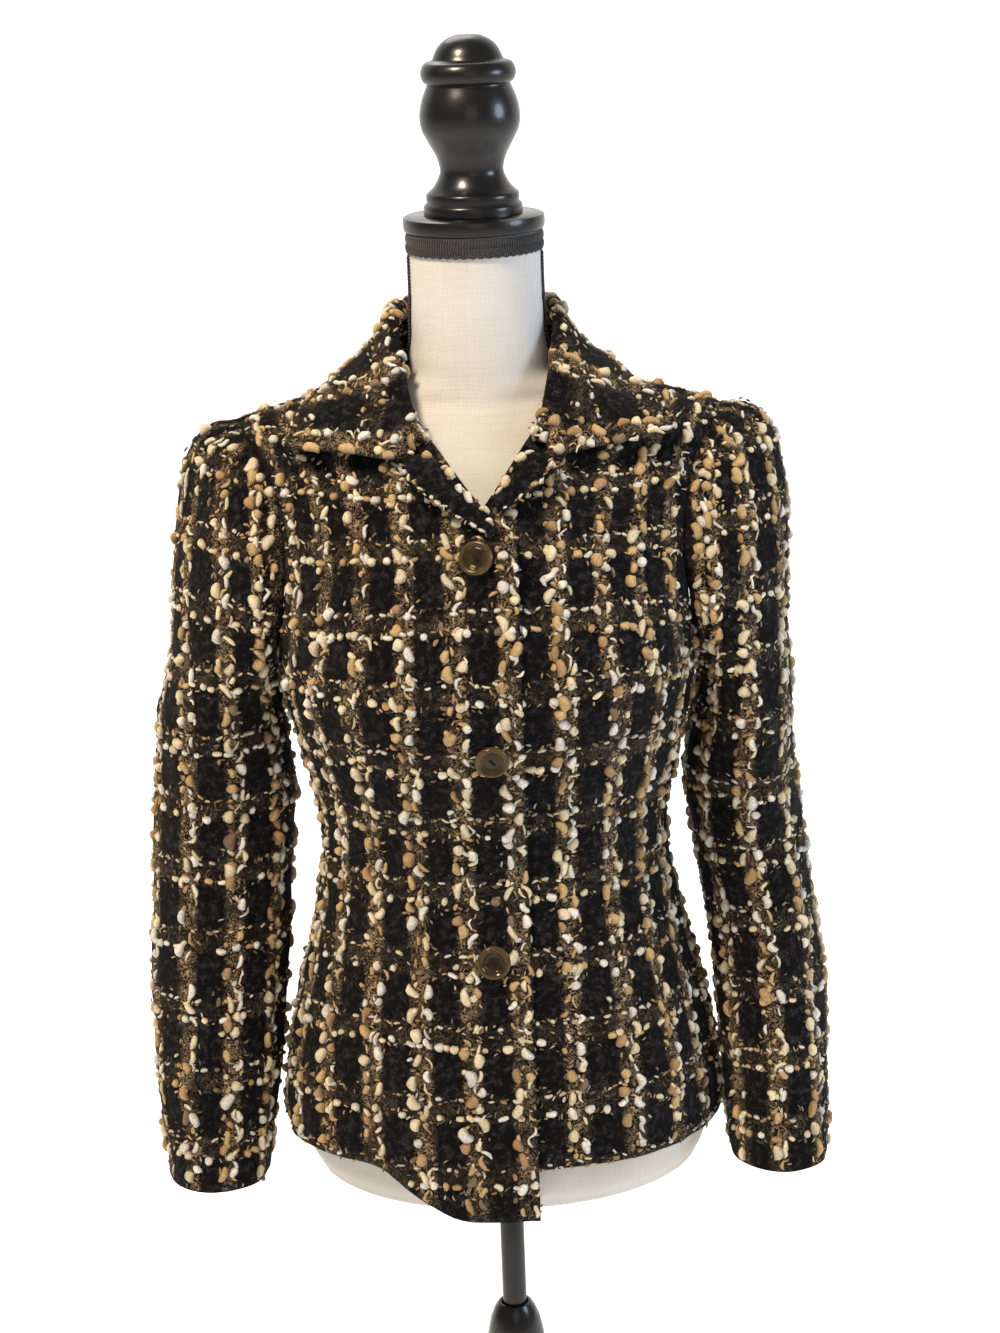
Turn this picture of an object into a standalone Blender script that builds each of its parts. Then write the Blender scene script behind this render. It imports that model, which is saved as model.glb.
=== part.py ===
"""Tweed blazer, buttoned, on a limbless dress form with a turned finial, a pole and a round base.

Metres, +Z up. The front faces -Y and +X is the wearer's left. The origin is on the floor under the pole.
"""

import math

import bpy
import numpy as np
from mathutils import Matrix

# Cloth: a boucle tweed wall, and the gap that sewn pieces keep to each other
WALL = 0.0028
SEAM_GAP = 0.0004
HANGS_ASIDE = np.array([-0.0016, 0, 0])
LAYER_GAP = 0.0010

# Blazer body at the outer face of the cloth: one row for each section, from hem to shoulder
BODY_COLUMNS = ("height", "half_width", "front_depth", "back_depth", "squareness")
BODY_SECTIONS = (
    (0.300, 0.163, 0.140, 0.132, 2.25),
    (0.345, 0.162, 0.138, 0.130, 2.25),
    (0.420, 0.153, 0.131, 0.122, 2.25),
    (0.490, 0.135, 0.119, 0.107, 2.20),
    (0.565, 0.124, 0.110, 0.093, 2.20),
    (0.620, 0.134, 0.124, 0.098, 2.20),
    (0.690, 0.148, 0.139, 0.107, 2.30),
    (0.760, 0.156, 0.130, 0.113, 2.40),
    (0.830, 0.168, 0.112, 0.111, 2.50),
    (0.900, 0.182, 0.098, 0.104, 2.50),
)
UNDERARM_HEIGHT = 0.700
HEM_HEIGHT = 0.350
BUST_HEIGHT, BUST_ANGLE, BUST_SIZE, BUST_RISE = 0.690, math.radians(34), 0.055, 0.007

# Shoulder seam: distance from the centre, height and depth
SHOULDER_COLUMNS = ("out", "height", "depth")
SHOULDER_SEAM = (
    (0.000, 0.9060, 0.006),
    (0.040, 0.9000, 0.006),
    (0.066, 0.8925, 0.006),
    (0.100, 0.8815, 0.004),
    (0.140, 0.8705, 0.001),
    (0.172, 0.8630, 0.000),
)
FRONT_ROUNDING, BACK_ROUNDING = 2.2, 3.6

# Armhole and neckline: how far from the centre each edge lies, at shares of the way up to the shoulder seam
ARMHOLE_COLUMNS = ("rise", "front_out", "back_out")
ARMHOLE = (
    (0.00, 0.1480, 0.1480),
    (0.25, 0.1400, 0.1450),
    (0.50, 0.1380, 0.1450),
    (0.75, 0.1450, 0.1510),
    (1.00, 0.1690, 0.1690),
)
NECKLINE_COLUMNS = ("height", "out")
FRONT_NECKLINE = (
    (0.7920, -0.0170),
    (0.8040, -0.0075),
    (0.8280, 0.0120),
    (0.8450, 0.0250),
    (0.8600, 0.0375),
    (0.8700, 0.0465),
    (0.8840, 0.0585),
    (0.8925, 0.0665),
)
BREAK_HEIGHT = 0.776
BACK_NECK_HEIGHT = 0.8850
NECK_OUT = 0.0665
NECK_COLUMN_SHARE = 5 / 11

# Fronts: the wearer's right front lies over the left one at the centre
RIGHT_OVERLAP, LEFT_OVERLAP = 0.022, 0.024
OVERLAP_FADE = 0.040
BREAK_ROLL, BREAK_ROLL_HALF_HEIGHT, BREAK_ROLL_WIDTH = 0.0100, 0.024, 0.040
RIGHT_HEM_DIP, RIGHT_HEM_DIP_START, RIGHT_HEM_DIP_END = 0.036, 0.105, 0.025
HEM_DIP_REACH = 0.40

# Largest soft folds of the body: angle from the centre front, height, half widths and depth
FOLD_COLUMNS = ("angle_deg", "height", "half_angle_deg", "half_height", "push")
BODY_FOLDS = (
    (-58, 0.420, 13, 0.090, 0.0035),
    (-33, 0.400, 9, 0.080, -0.0030),
    (40, 0.410, 11, 0.085, 0.0030),
    (66, 0.440, 10, 0.080, -0.0030),
    (-62, 0.600, 16, 0.022, -0.0040),
    (60, 0.592, 16, 0.022, -0.0040),
    (115, 0.560, 18, 0.030, -0.0040),
    (-118, 0.555, 18, 0.030, -0.0040),
    (150, 0.420, 12, 0.090, 0.0040),
    (-148, 0.415, 12, 0.090, 0.0040),
    (180, 0.430, 9, 0.080, -0.0035),
)

# Sleeves: one row for each section from the upper arm to the cuff
SLEEVE_COLUMNS = ("height", "centre_out", "half_width", "centre_depth", "half_depth")
RIGHT_SLEEVE = (
    (0.655, 0.1925, 0.0450, 0.004, 0.064),
    (0.600, 0.1930, 0.0500, 0.008, 0.058),
    (0.540, 0.1975, 0.0505, 0.006, 0.053),
    (0.470, 0.2033, 0.0492, -0.006, 0.049),
    (0.400, 0.2065, 0.0460, -0.024, 0.046),
    (0.345, 0.2080, 0.0400, -0.038, 0.043),
    (0.318, 0.2090, 0.0362, -0.045, 0.042),
)
LEFT_SLEEVE = (
    (0.655, 0.1830, 0.0335, 0.004, 0.070),
    (0.600, 0.1785, 0.0395, 0.008, 0.066),
    (0.540, 0.1840, 0.0397, 0.006, 0.060),
    (0.470, 0.1940, 0.0390, -0.006, 0.054),
    (0.400, 0.1972, 0.0393, -0.024, 0.050),
    (0.345, 0.1982, 0.0367, -0.038, 0.046),
    (0.3185, 0.1988, 0.0352, -0.045, 0.044),
)
SLEEVE_CAP_COLUMNS = ("reach", "lift", "spread", "fullness")
RIGHT_CAP, LEFT_CAP = (0.182, 0.047, 0.085, 0.050), (0.212, 0.047, 0.035, 0.050)

# Elbow folds of a sleeve: angle round the sleeve from the inside seam, height, half widths and push
SLEEVE_FOLDS = (
    (60, 0.585, 34, 0.013, -0.0040),
    (95, 0.545, 40, 0.014, -0.0045),
    (70, 0.505, 36, 0.013, -0.0035),
    (200, 0.640, 40, 0.016, -0.0035),
    (120, 0.430, 40, 0.018, -0.0030),
)

# Collar: the neck seam, the roll, a point of the fall and the outer edge, from the centre back to the front
COLLAR_COLUMNS = ("neck", "roll", "fall", "edge")
COLLAR_STATIONS = (
    ((0.000, 0.0610, 0.8890), (0.000, 0.0600, 0.9340), (0.000, 0.0800, 0.9100), (0.000, 0.0950, 0.8690)),
    ((0.036, 0.0510, 0.8905), (0.033, 0.0510, 0.9350), (0.046, 0.0680, 0.9100), (0.060, 0.0860, 0.8690)),
    ((0.058, 0.0270, 0.8950), (0.0475, 0.0270, 0.9350), (0.068, 0.0370, 0.9090), (0.093, 0.0510, 0.8790)),
    ((0.0630, -0.002, 0.8960), (0.0505, -0.003, 0.9320), (0.0755, -0.001, 0.9080), (0.106, 0.0060, 0.8845)),
    ((0.0590, -0.0285, 0.8890), (0.0480, -0.033, 0.9035), (0.0745, -0.0365, 0.8950), (0.119, -0.0245, 0.8775)),
    ((0.0500, -0.0515, 0.8755), (0.0425, -0.0565, 0.8790), (0.0640, -0.070, 0.8705), (0.128, -0.048, 0.8675)),
    ((0.0400, -0.0660, 0.8605), (0.0340, -0.0750, 0.8575), (0.0510, -0.087, 0.8470), (0.1315, -0.066, 0.8560)),
)
ROLL_RADIUS = 0.0044

# Lapels: the roll line and the outer edge in (distance from the centre, height), from the break to the notch
LAPEL_COLUMNS = ("roll", "edge")
RIGHT_LAPEL = (
    ((-0.0095, 0.7965), (-0.0035, 0.7930)),
    ((0.0000, 0.8110), (0.0100, 0.8010)),
    ((0.0130, 0.8270), (0.0310, 0.8130)),
    ((0.0330, 0.8495), (0.0570, 0.8320)),
)
LEFT_LAPEL = (
    ((0.0050, 0.8170), (0.0110, 0.8095)),
    ((0.0100, 0.8235), (0.0215, 0.8120)),
    ((0.0175, 0.8335), (0.0335, 0.8185)),
    ((0.0325, 0.8490), (0.0515, 0.8320)),
)
LAPEL_PUFF, LAPEL_STAND = 0.0045, 0.0090

# Buttons: dished discs sewn down the centre of the right front
BUTTON_RADIUS, BUTTON_STAND = 0.0118, 0.0014
BUTTON_COLUMNS = ("out", "height")
BUTTON_PLACES = ((0.0040, 0.7820), (-0.0005, 0.6510), (0.0035, 0.4990))

# Dress form: one row for each section, from the flat underside to the neck
FORM_SECTIONS = (
    (0.3040, 0.118, 0.095, 0.088, 2.1),
    (0.3070, 0.132, 0.107, 0.099, 2.1),
    (0.3160, 0.142, 0.116, 0.108, 2.1),
    (0.3350, 0.1465, 0.120, 0.112, 2.1),
    (0.3700, 0.146, 0.120, 0.112, 2.1),
    (0.4300, 0.142, 0.118, 0.108, 2.1),
    (0.4900, 0.125, 0.107, 0.096, 2.1),
    (0.5650, 0.113, 0.098, 0.082, 2.1),
    (0.6200, 0.122, 0.111, 0.086, 2.1),
    (0.6900, 0.136, 0.127, 0.095, 2.2),
    (0.7600, 0.138, 0.115, 0.100, 2.3),
    (0.8000, 0.140, 0.096, 0.094, 2.3),
    (0.8300, 0.138, 0.079, 0.082, 2.3),
    (0.8520, 0.126, 0.064, 0.068, 1.9),
    (0.8650, 0.112, 0.056, 0.059, 1.65),
    (0.8760, 0.092, 0.0500, 0.053, 1.45),
    (0.8860, 0.059, 0.0475, 0.050, 1.9),
    (0.9050, 0.048, 0.0465, 0.048, 2.0),
    (0.9300, 0.0455, 0.0460, 0.0465, 2.0),
    (0.9862, 0.0447, 0.0450, 0.0450, 2.0),
)

# Trim of the form's neck: a braid round its top and one down each side
BRAID_LOW, BRAID_HIGH, BRAID_THICK = 0.9730, 0.9858, 0.0020
SIDE_BRAID_LOW, SIDE_BRAID_HALF_ANGLE, SIDE_BRAID_THICK = 0.9040, math.radians(7), 0.0012

# Turned pieces: (radius, height) down the outer side
CAP_HIGH, CAP_LOW, CAP_RADIUS, CAP_EDGE = 0.9975, 0.9866, 0.0485, 0.0025
FINIAL_PROFILE = (
    (0.0000, 1.1178),
    (0.0090, 1.1168),
    (0.0160, 1.1135),
    (0.0208, 1.1085),
    (0.0238, 1.1020),
    (0.0250, 1.1008),
    (0.0300, 1.0988),
    (0.0324, 1.0930),
    (0.0312, 1.0875),
    (0.0284, 1.0850),
    (0.0288, 1.0835),
    (0.0324, 1.0745),
    (0.0342, 1.0643),
    (0.0330, 1.0550),
    (0.0288, 1.0465),
    (0.0238, 1.0370),
    (0.0216, 1.0283),
    (0.0228, 1.0230),
    (0.0262, 1.0170),
    (0.0297, 1.0135),
    (0.0315, 1.0118),
    (0.0315, 1.0062),
    (0.0335, 1.0040),
    (0.0338, 0.9979),
    (0.0000, 0.9979),
)
POLE_RADIUS, POLE_TOP, POLE_LOW = 0.0090, 0.3037, 0.1600
SOCKET_RADIUS, SOCKET_FLOOR = 0.0095, 0.1597
HUB_PROFILE = (
    (0.0120, 0.1785),
    (0.0150, 0.1745),
    (0.0185, 0.1660),
    (0.0212, 0.1530),
    (0.0220, 0.1380),
    (0.0205, 0.1150),
    (0.0180, 0.0900),
    (0.0190, 0.0650),
    (0.0250, 0.0450),
    (0.0360, 0.0330),
    (0.0420, 0.0283),
    (0.0000, 0.0283),
)
BASE_RADIUS, BASE_HEIGHT, BASE_EDGE = 0.1600, 0.0280, 0.0060

# Resolution of the meshes
TURN_STEPS, RING_POINTS = 26, 30
FRONT_COLUMNS_COUNT, BACK_COLUMNS_COUNT = 14, 23
LOWER_ROWS, UPPER_ROWS = 11, 10
CAP_ROWS, ARM_ROWS = 7, 12
COLLAR_SUBSTEPS = 3
LAPEL_ROWS, LAPEL_COLUMNS_COUNT = 8, 5

# Colours as linear RGB, with roughness
TWEED = ("tweed", (0.030, 0.026, 0.022), 0.95)
HORN = ("horn_button", (0.050, 0.034, 0.018), 0.30)
LINEN = ("linen_cover", (0.620, 0.570, 0.490), 0.90)
BRAID = ("black_braid", (0.010, 0.010, 0.012), 0.85)
LACQUER = ("black_lacquer", (0.012, 0.011, 0.010), 0.30)


def clear_scene():
    for obj in list(bpy.data.objects):
        bpy.data.objects.remove(obj)


def material(finish):
    """The Principled material of a (name, colour, roughness) finish, made once."""
    name, colour, roughness = finish
    found = bpy.data.materials.get(name)
    if found:
        return found
    made = bpy.data.materials.new(name)
    made.use_nodes = True
    shader = made.node_tree.nodes["Principled BSDF"]
    shader.inputs["Base Color"].default_value = (*colour, 1)
    shader.inputs["Roughness"].default_value = roughness
    made.diffuse_color = (*colour, 1)
    return made


def add_object(name, points, faces, finish):
    """A smooth-shaded mesh object in the scene."""
    mesh = bpy.data.meshes.new(name)
    mesh.from_pydata([tuple(p) for p in points], [], faces)
    mesh.shade_smooth()
    mesh.set_sharp_from_angle(angle=math.radians(40))
    mesh.materials.append(material(finish))
    obj = bpy.data.objects.new(name, mesh)
    bpy.context.scene.collection.objects.link(obj)
    return obj


def smooth(x, xs, ys):
    """A smooth curve through the points (xs, ys), read at x. Its ends run on straight."""
    xs, ys = np.asarray(xs, float), np.asarray(ys, float)
    slopes = np.gradient(ys, xs)
    x = np.asarray(x, float)
    i = np.clip(np.searchsorted(xs, x) - 1, 0, len(xs) - 2)
    step = xs[i + 1] - xs[i]
    t = np.clip((x - xs[i]) / step, 0, 1)
    inside = (
        ys[i] * (1 + 2 * t) * (1 - t) ** 2
        + slopes[i] * step * t * (1 - t) ** 2
        + ys[i + 1] * t * t * (3 - 2 * t)
        + slopes[i + 1] * step * t * t * (t - 1)
    )
    beyond = slopes[0] * np.minimum(x - xs[0], 0) + slopes[-1] * np.maximum(x - xs[-1], 0)
    return inside + beyond


def column(table, names, name):
    return [row[names.index(name)] for row in table]


def read_table(at, table, names, name):
    """A named column of a table, read smoothly along its first column."""
    return smooth(at, column(table, names, names[0]), column(table, names, name))


def section(height, name):
    """One size of the blazer's body at a height."""
    return read_table(height, BODY_SECTIONS, BODY_COLUMNS, name)


def shoulder(out, name):
    """The height or depth of the shoulder seam at a distance from the centre."""
    return read_table(out, SHOULDER_SEAM, SHOULDER_COLUMNS, name)


def upper_rises():
    """Shares of the way from the underarm to the shoulder seam that the rows of all pieces use."""
    return (1 - np.cos(np.linspace(0, math.pi, UPPER_ROWS))) / 2


def ease(x):
    """0 to 1 with soft ends."""
    t = np.clip(x, 0, 1)
    return t * t * (3 - 2 * t)


def bump(angle, height, row):
    """A soft push out or in, from a row of a fold table. Angles are in degrees."""
    at, up, half_angle, half_height, push = row
    turn = (np.degrees(angle) - at + 180) % 360 - 180
    return push * np.exp(-((turn / half_angle) ** 2) - ((height - up) / half_height) ** 2)


def body_pushes(angle, height):
    """Folds and the dart's fullness over the bust, as distance moved out."""
    pushed = sum(bump(angle, height, row) for row in BODY_FOLDS)
    full = BUST_SIZE / 0.14
    for at in (BUST_ANGLE, -BUST_ANGLE):
        away = ((angle - at) / full) ** 2 + ((height - BUST_HEIGHT) / BUST_SIZE) ** 2
        pushed = pushed + BUST_RISE * np.exp(-away)
    return pushed


def on_section(angle, height, pushed=0.0):
    """(x, y) on the body's section. Angle 0 is the centre front and +90 degrees the wearer's left."""
    power = 2 / section(height, "squareness")
    depth = np.where(np.cos(angle) > 0, -section(height, "front_depth"), section(height, "back_depth"))
    x = section(height, "half_width") * np.sign(np.sin(angle)) * np.abs(np.sin(angle)) ** power
    y = depth * np.abs(np.cos(angle)) ** power
    grown = 1 + pushed / np.maximum(np.hypot(x, y), 0.01)
    return x * grown, y * grown


def angle_at(out, height):
    """The angle whose point on the section lies that far out. It is negative across the centre."""
    share = np.clip(np.abs(out) / section(height, "half_width"), 0, 1)
    return np.sign(out) * np.arcsin(share ** (section(height, "squareness") / 2))


def lower_point(angle, height):
    x, y = on_section(angle, height, body_pushes(angle, height))
    return np.stack([x, y, height + 0 * x], axis=-1)


def upper_point(out, rise, side, back):
    """A point above the underarm, by its distance out and its share of the way up to the shoulder seam."""
    top, seam_depth = shoulder(np.abs(out), "height"), shoulder(np.abs(out), "depth")
    height = UNDERARM_HEIGHT + rise * (top - UNDERARM_HEIGHT)
    angle = angle_at(out, height)
    if back:
        angle = math.pi - angle
    x, y = on_section(side * angle, height, body_pushes(side * angle, height))
    rounding = BACK_ROUNDING if back else FRONT_ROUNDING
    depth = np.sqrt(np.maximum(1 - rise**rounding, 0))
    return np.stack([x, y * depth + seam_depth * (1 - depth), height], axis=-1)


def armhole_out(rise, back):
    name = "back_out" if back else "front_out"
    return read_table(rise, ARMHOLE, ARMHOLE_COLUMNS, name)


def front_neck_out(height, overlap):
    """Where the front's inner edge lies: over the centre below the break, then out to the neck."""
    neckline = smooth(height, *zip(*FRONT_NECKLINE))
    turned = ease((height - BREAK_HEIGHT) / (FRONT_NECKLINE[0][0] + 0.012 - BREAK_HEIGHT))
    return np.where(height > FRONT_NECKLINE[-1][0], NECK_OUT, -overlap * (1 - turned) + neckline * turned)


def rise_at(height, out):
    return (height - UNDERARM_HEIGHT) / (shoulder(np.abs(out), "height") - UNDERARM_HEIGHT)


def normals(grid, around=False):
    """Unit normals of a grid of points. Rows go up, and columns go to the wearer's left in front."""
    across = np.gradient(grid, axis=1)
    if around:
        across = (np.roll(grid, -1, axis=1) - np.roll(grid, 1, axis=1)) / 2
    up = np.gradient(grid, axis=0)
    found = np.cross(across, up)
    return found / np.linalg.norm(found, axis=2, keepdims=True)


def grid_faces(rows, columns, around=False):
    faces = []
    for r in range(0, (rows - 1) * columns, columns):
        for c in range(columns if around else columns - 1):
            d = (c + 1) % columns
            faces.append((r + c, r + d, r + columns + d, r + columns + c))
    return faces


def cloth(name, grid, outward, finish=TWEED, thickness=WALL, around=False):
    """A closed wall of cloth: the grid is its outer face, and the inner face lies the thickness behind it."""
    if finish is TWEED:
        grid = grid + HANGS_ASIDE
    rows, columns = grid.shape[:2]
    count = rows * columns
    points = np.concatenate([grid.reshape(-1, 3), (grid - thickness * outward).reshape(-1, 3)])
    faces = grid_faces(rows, columns, around)
    faces += [tuple(i + count for i in reversed(face)) for face in faces]
    low = [(c, (c + 1) % columns) for c in range(columns if around else columns - 1)]
    top = count - columns
    edges = [(b, a) for a, b in low] + [(a + top, b + top) for a, b in low]
    if not around:
        for r in range(0, top, columns):
            edges.append((r, r + columns))
            edges.append((r + 2 * columns - 1, r + columns - 1))
    faces += [(a, b, b + count, a + count) for a, b in edges]
    return add_object(name, points, faces, finish)


def square_at_seams(outward, seams):
    """Turn the wall square to the seams, so that the front and the back meet without crossing."""
    outward[seams, 1] = 0
    return outward / np.linalg.norm(outward, axis=2, keepdims=True)


def hem_dip(out, side):
    """The right front hangs lower towards the centre."""
    if side > 0:
        return 0 * out
    return RIGHT_HEM_DIP * ease((RIGHT_HEM_DIP_START - out) / (RIGHT_HEM_DIP_START - RIGHT_HEM_DIP_END))


def lift_of_right(out, height):
    """How far the right front stands off: it lies over the left one, and its edge rolls out at the break."""
    over = (WALL + LAYER_GAP) * ease((LEFT_OVERLAP + OVERLAP_FADE - out) / OVERLAP_FADE)
    near_break = np.exp(-(((height - BREAK_HEIGHT - 0.012) / BREAK_ROLL_HALF_HEIGHT) ** 2))
    return over + BREAK_ROLL * near_break * ease((BREAK_ROLL_WIDTH - RIGHT_OVERLAP - out) / BREAK_ROLL_WIDTH)


def front_grid(side):
    """Outer points of one front: rows from hem to shoulder seam, columns from the centre edge to the side."""
    overlap = LEFT_OVERLAP if side > 0 else RIGHT_OVERLAP
    shares = np.linspace(0, 1, FRONT_COLUMNS_COUNT)
    rows = []
    for v in np.linspace(0, 1, LOWER_ROWS, endpoint=False):
        inner = angle_at(-overlap, HEM_HEIGHT + v * (UNDERARM_HEIGHT - HEM_HEIGHT))
        angle = inner + (math.pi / 2 - inner) * shares
        out = on_section(angle, np.full_like(angle, HEM_HEIGHT))[0]
        height = HEM_HEIGHT + v * (UNDERARM_HEIGHT - HEM_HEIGHT)
        height = height - hem_dip(out, side) * np.maximum(1 - v / HEM_DIP_REACH, 0) ** 2
        rows.append(lower_point(side * angle, height))
    for rise in upper_rises():
        edge = 0.0
        for _ in range(4):
            height = UNDERARM_HEIGHT + rise * (shoulder(abs(edge), "height") - UNDERARM_HEIGHT)
            edge = float(front_neck_out(height, overlap))
        half_width = section(UNDERARM_HEIGHT + rise * 0.17, "half_width")
        inner, outer = np.arcsin(edge / half_width), np.arcsin(armhole_out(rise, False) / half_width)
        out = half_width * np.sin(inner + (outer - inner) * shares)
        rows.append(upper_point(out, np.full_like(out, rise), side, False))
    grid = np.array(rows)
    if side < 0:
        grid = grid[:, ::-1]
        grid = grid + lift_of_right(-grid[..., :1], grid[..., 2:]) * normals(grid)
    grid[..., 1] -= SEAM_GAP / 2
    return grid


def back_grid():
    """Outer points of the back: rows from hem to shoulder seams, columns from the left side to the right."""
    rows = []
    for v in np.linspace(0, 1, LOWER_ROWS, endpoint=False):
        angle = np.linspace(math.pi / 2, 3 * math.pi / 2, BACK_COLUMNS_COUNT)
        height = np.full_like(angle, HEM_HEIGHT + v * (UNDERARM_HEIGHT - HEM_HEIGHT))
        rows.append(lower_point(angle, height))
    for rise in upper_rises():
        outer = float(armhole_out(rise, True))
        half_width = section(UNDERARM_HEIGHT + rise * 0.17, "half_width")
        step = np.linspace(1, -1, BACK_COLUMNS_COUNT)
        round_back = half_width * np.sin(np.arcsin(outer / half_width) * step)
        to_neck = np.interp(np.abs(step), (0, NECK_COLUMN_SHARE, 1), (0, NECK_OUT, outer)) * np.sign(step)
        out = round_back + (to_neck - round_back) * rise**2
        neck_share = rise_at(back_neck_height(out), out)
        share = rise * np.where(np.abs(step) < NECK_COLUMN_SHARE - 0.001, neck_share, 1)
        points = [upper_point(abs(o), s, math.copysign(1, o), True) for o, s in zip(out, share)]
        rows.append(np.array(points))
    grid = np.array(rows)
    grid[..., 1] += SEAM_GAP / 2
    return grid


def back_neck_height(out):
    """Height of the back neckline between the two shoulder seams."""
    fall = shoulder(NECK_OUT, "height") - BACK_NECK_HEIGHT
    return BACK_NECK_HEIGHT + fall * np.minimum(np.abs(out) / NECK_OUT, 1) ** 4


def armhole_ring(side):
    """The armhole from the underarm forward, over the shoulder and down the back."""
    turn = np.linspace(0, 2 * math.pi, 2 * (UPPER_ROWS - 1), endpoint=False)
    rise = np.concatenate([upper_rises(), upper_rises()[-2:0:-1]])
    points = []
    for angle, share in zip(turn, rise):
        back = angle > math.pi * 1.0001
        points.append(upper_point(armhole_out(share, back), share, side, back))
    ring = np.array(points)
    ring[:, 0] += side * SEAM_GAP
    return turn, ring


def sleeve_grid(side):
    """Outer points of a sleeve, rows from the cuff to the armhole, columns round it from the inside."""
    table = LEFT_SLEEVE if side > 0 else RIGHT_SLEEVE
    heights = column(table, SLEEVE_COLUMNS, "height")[::-1]

    def size(height, name):
        return smooth(height, heights, column(table, SLEEVE_COLUMNS, name)[::-1])

    turn, armhole = armhole_ring(side)

    def arm_ring(height):
        grown = sum(bump(turn, height, row) for row in SLEEVE_FOLDS)
        x = size(height, "centre_out") - (size(height, "half_width") + grown) * np.cos(turn)
        y = size(height, "centre_depth") - (size(height, "half_depth") + grown) * np.sin(turn)
        return np.stack([side * x, y, np.full_like(x, height)], axis=-1)

    rows = [arm_ring(height) for height in np.linspace(heights[0], heights[-1], ARM_ROWS)]
    upper_arm = rows[-1]
    fall = np.linalg.norm(upper_arm - armhole, axis=1)
    over = (1 - np.cos(turn)) / 2
    reach, lift, spread, fullness = LEFT_CAP if side > 0 else RIGHT_CAP
    falling = lift * over - fall * (1 - over)
    leaving = np.stack([side * reach * over, -fullness * np.sin(turn), falling], axis=-1)
    arriving = np.stack([side * spread * over, 0 * fall, -fall], axis=-1)
    for s in np.linspace(1, 0, CAP_ROWS + 1)[1:]:
        from_hole, out_of_hole = (1 + 2 * s) * (1 - s) ** 2, s * (1 - s) ** 2
        to_arm, into_arm = s * s * (3 - 2 * s), s * s * (s - 1)
        rows.append(from_hole * armhole + out_of_hole * leaving + to_arm * upper_arm + into_arm * arriving)
    grid = np.array(rows)
    return grid if side > 0 else grid[:, ::-1]


def along(points, count):
    """Points spaced along a smooth curve through the given ones, by their number."""
    points = np.asarray(points, float)
    at = np.linspace(0, len(points) - 1, count)
    numbers = np.arange(len(points))
    return np.stack([smooth(at, numbers, values) for values in points.T], axis=-1)


def square_to(direction, axis):
    """The unit direction left when the part along the axis is taken away."""
    left = direction - axis * (direction @ axis) / (axis @ axis)
    return left / np.linalg.norm(left)


def collar_grid():
    """Outer points of the collar: rows from neck seam over the roll to the edge, columns right to left."""
    count = (len(COLLAR_STATIONS) - 1) * COLLAR_SUBSTEPS + 1
    half = {name: along([row[i] for row in COLLAR_STATIONS], count) for i, name in enumerate(COLLAR_COLUMNS)}
    lengthwise = np.gradient(half["roll"], axis=0)
    columns = []
    for k in range(count):
        neck, roll, fall, edge = (half[name][k] for name in COLLAR_COLUMNS)
        up = square_to(roll - neck, lengthwise[k])
        away = square_to(square_to(fall - roll, lengthwise[k]), up)
        before = roll - ROLL_RADIUS * up
        profile = [
            neck,
            (neck + before) / 2,
            before,
            roll - ROLL_RADIUS * (0.29 * up - 0.29 * away),
            roll + ROLL_RADIUS * away,
            roll - ROLL_RADIUS * (0.29 * up - 1.71 * away),
            before + 2 * ROLL_RADIUS * away,
            fall,
            (fall + edge) / 2,
            edge,
        ]
        columns.append(profile)
    left = np.array(columns)
    right = left[::-1] * np.array([-1, 1, 1])
    return np.concatenate([right[:-1], left]).transpose(1, 0, 2)


def lapel_grid(side):
    """Outer points of a lapel on its front: rows from the break to the notch, columns from roll to edge."""
    table = LEFT_LAPEL if side > 0 else RIGHT_LAPEL
    roll = along([row[0] for row in table], LAPEL_ROWS)
    edge = along([row[1] for row in table], LAPEL_ROWS)
    share = np.linspace(0, 1, LAPEL_COLUMNS_COUNT)
    out = roll[:, None, 0] + (edge - roll)[:, None, 0] * share
    height = roll[:, None, 1] + (edge - roll)[:, None, 1] * share
    rise = rise_at(height, out)
    on_front = np.array([upper_point(o, r, side, False) for o, r in zip(out, rise)])
    puff = LAPEL_PUFF * (0.35 + 0.65 * np.sin(math.pi * (0.25 + 0.75 * share)))
    stand = LAPEL_STAND * np.linspace(0, 1, LAPEL_ROWS)[:, None] ** 1.5 * share
    lift = SEAM_GAP + WALL + LAYER_GAP + puff + stand
    if side < 0:
        on_front, lift = on_front[:, ::-1], (lift + lift_of_right(out, height))[:, ::-1]
    return on_front + normals(on_front) * lift[..., None]


def turned(name, profile, finish):
    """A piece turned on the pole's axis. The profile runs down its outer side."""
    count = len(profile)
    mesh = bpy.data.meshes.new(name)
    mesh.from_pydata([(r, 0, z) for r, z in profile], [(i, i + 1) for i in range(count - 1)], [])
    mesh.materials.append(material(finish))
    obj = bpy.data.objects.new(name, mesh)
    bpy.context.scene.collection.objects.link(obj)
    screw = obj.modifiers.new("turn", "SCREW")
    screw.steps = screw.render_steps = TURN_STEPS
    screw.use_merge_vertices = True
    screw.merge_threshold = 0.00001
    return obj


def form_ring(height, grow=0.0, angles=None):
    """A ring of the dress form's section at a height."""
    if angles is None:
        angles = np.linspace(0, 2 * math.pi, RING_POINTS, endpoint=False)
    half_width, front, back, square = (
        read_table(height, FORM_SECTIONS, BODY_COLUMNS, name) for name in BODY_COLUMNS[1:]
    )
    depth = np.where(np.cos(angles) > 0, -(front + grow), back + grow)
    x = (half_width + grow) * np.sign(np.sin(angles)) * np.abs(np.sin(angles)) ** (2 / square)
    return np.stack([x, depth * np.abs(np.cos(angles)) ** (2 / square), np.full_like(x, height)], axis=-1)


def form_heights():
    """Heights of the form's rings: its sections, and one more between those above the rounded bottom edge."""
    heights = [row[0] for row in FORM_SECTIONS]
    return sorted(heights + [(a + b) / 2 for a, b in zip(heights[4:], heights[5:])])


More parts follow.
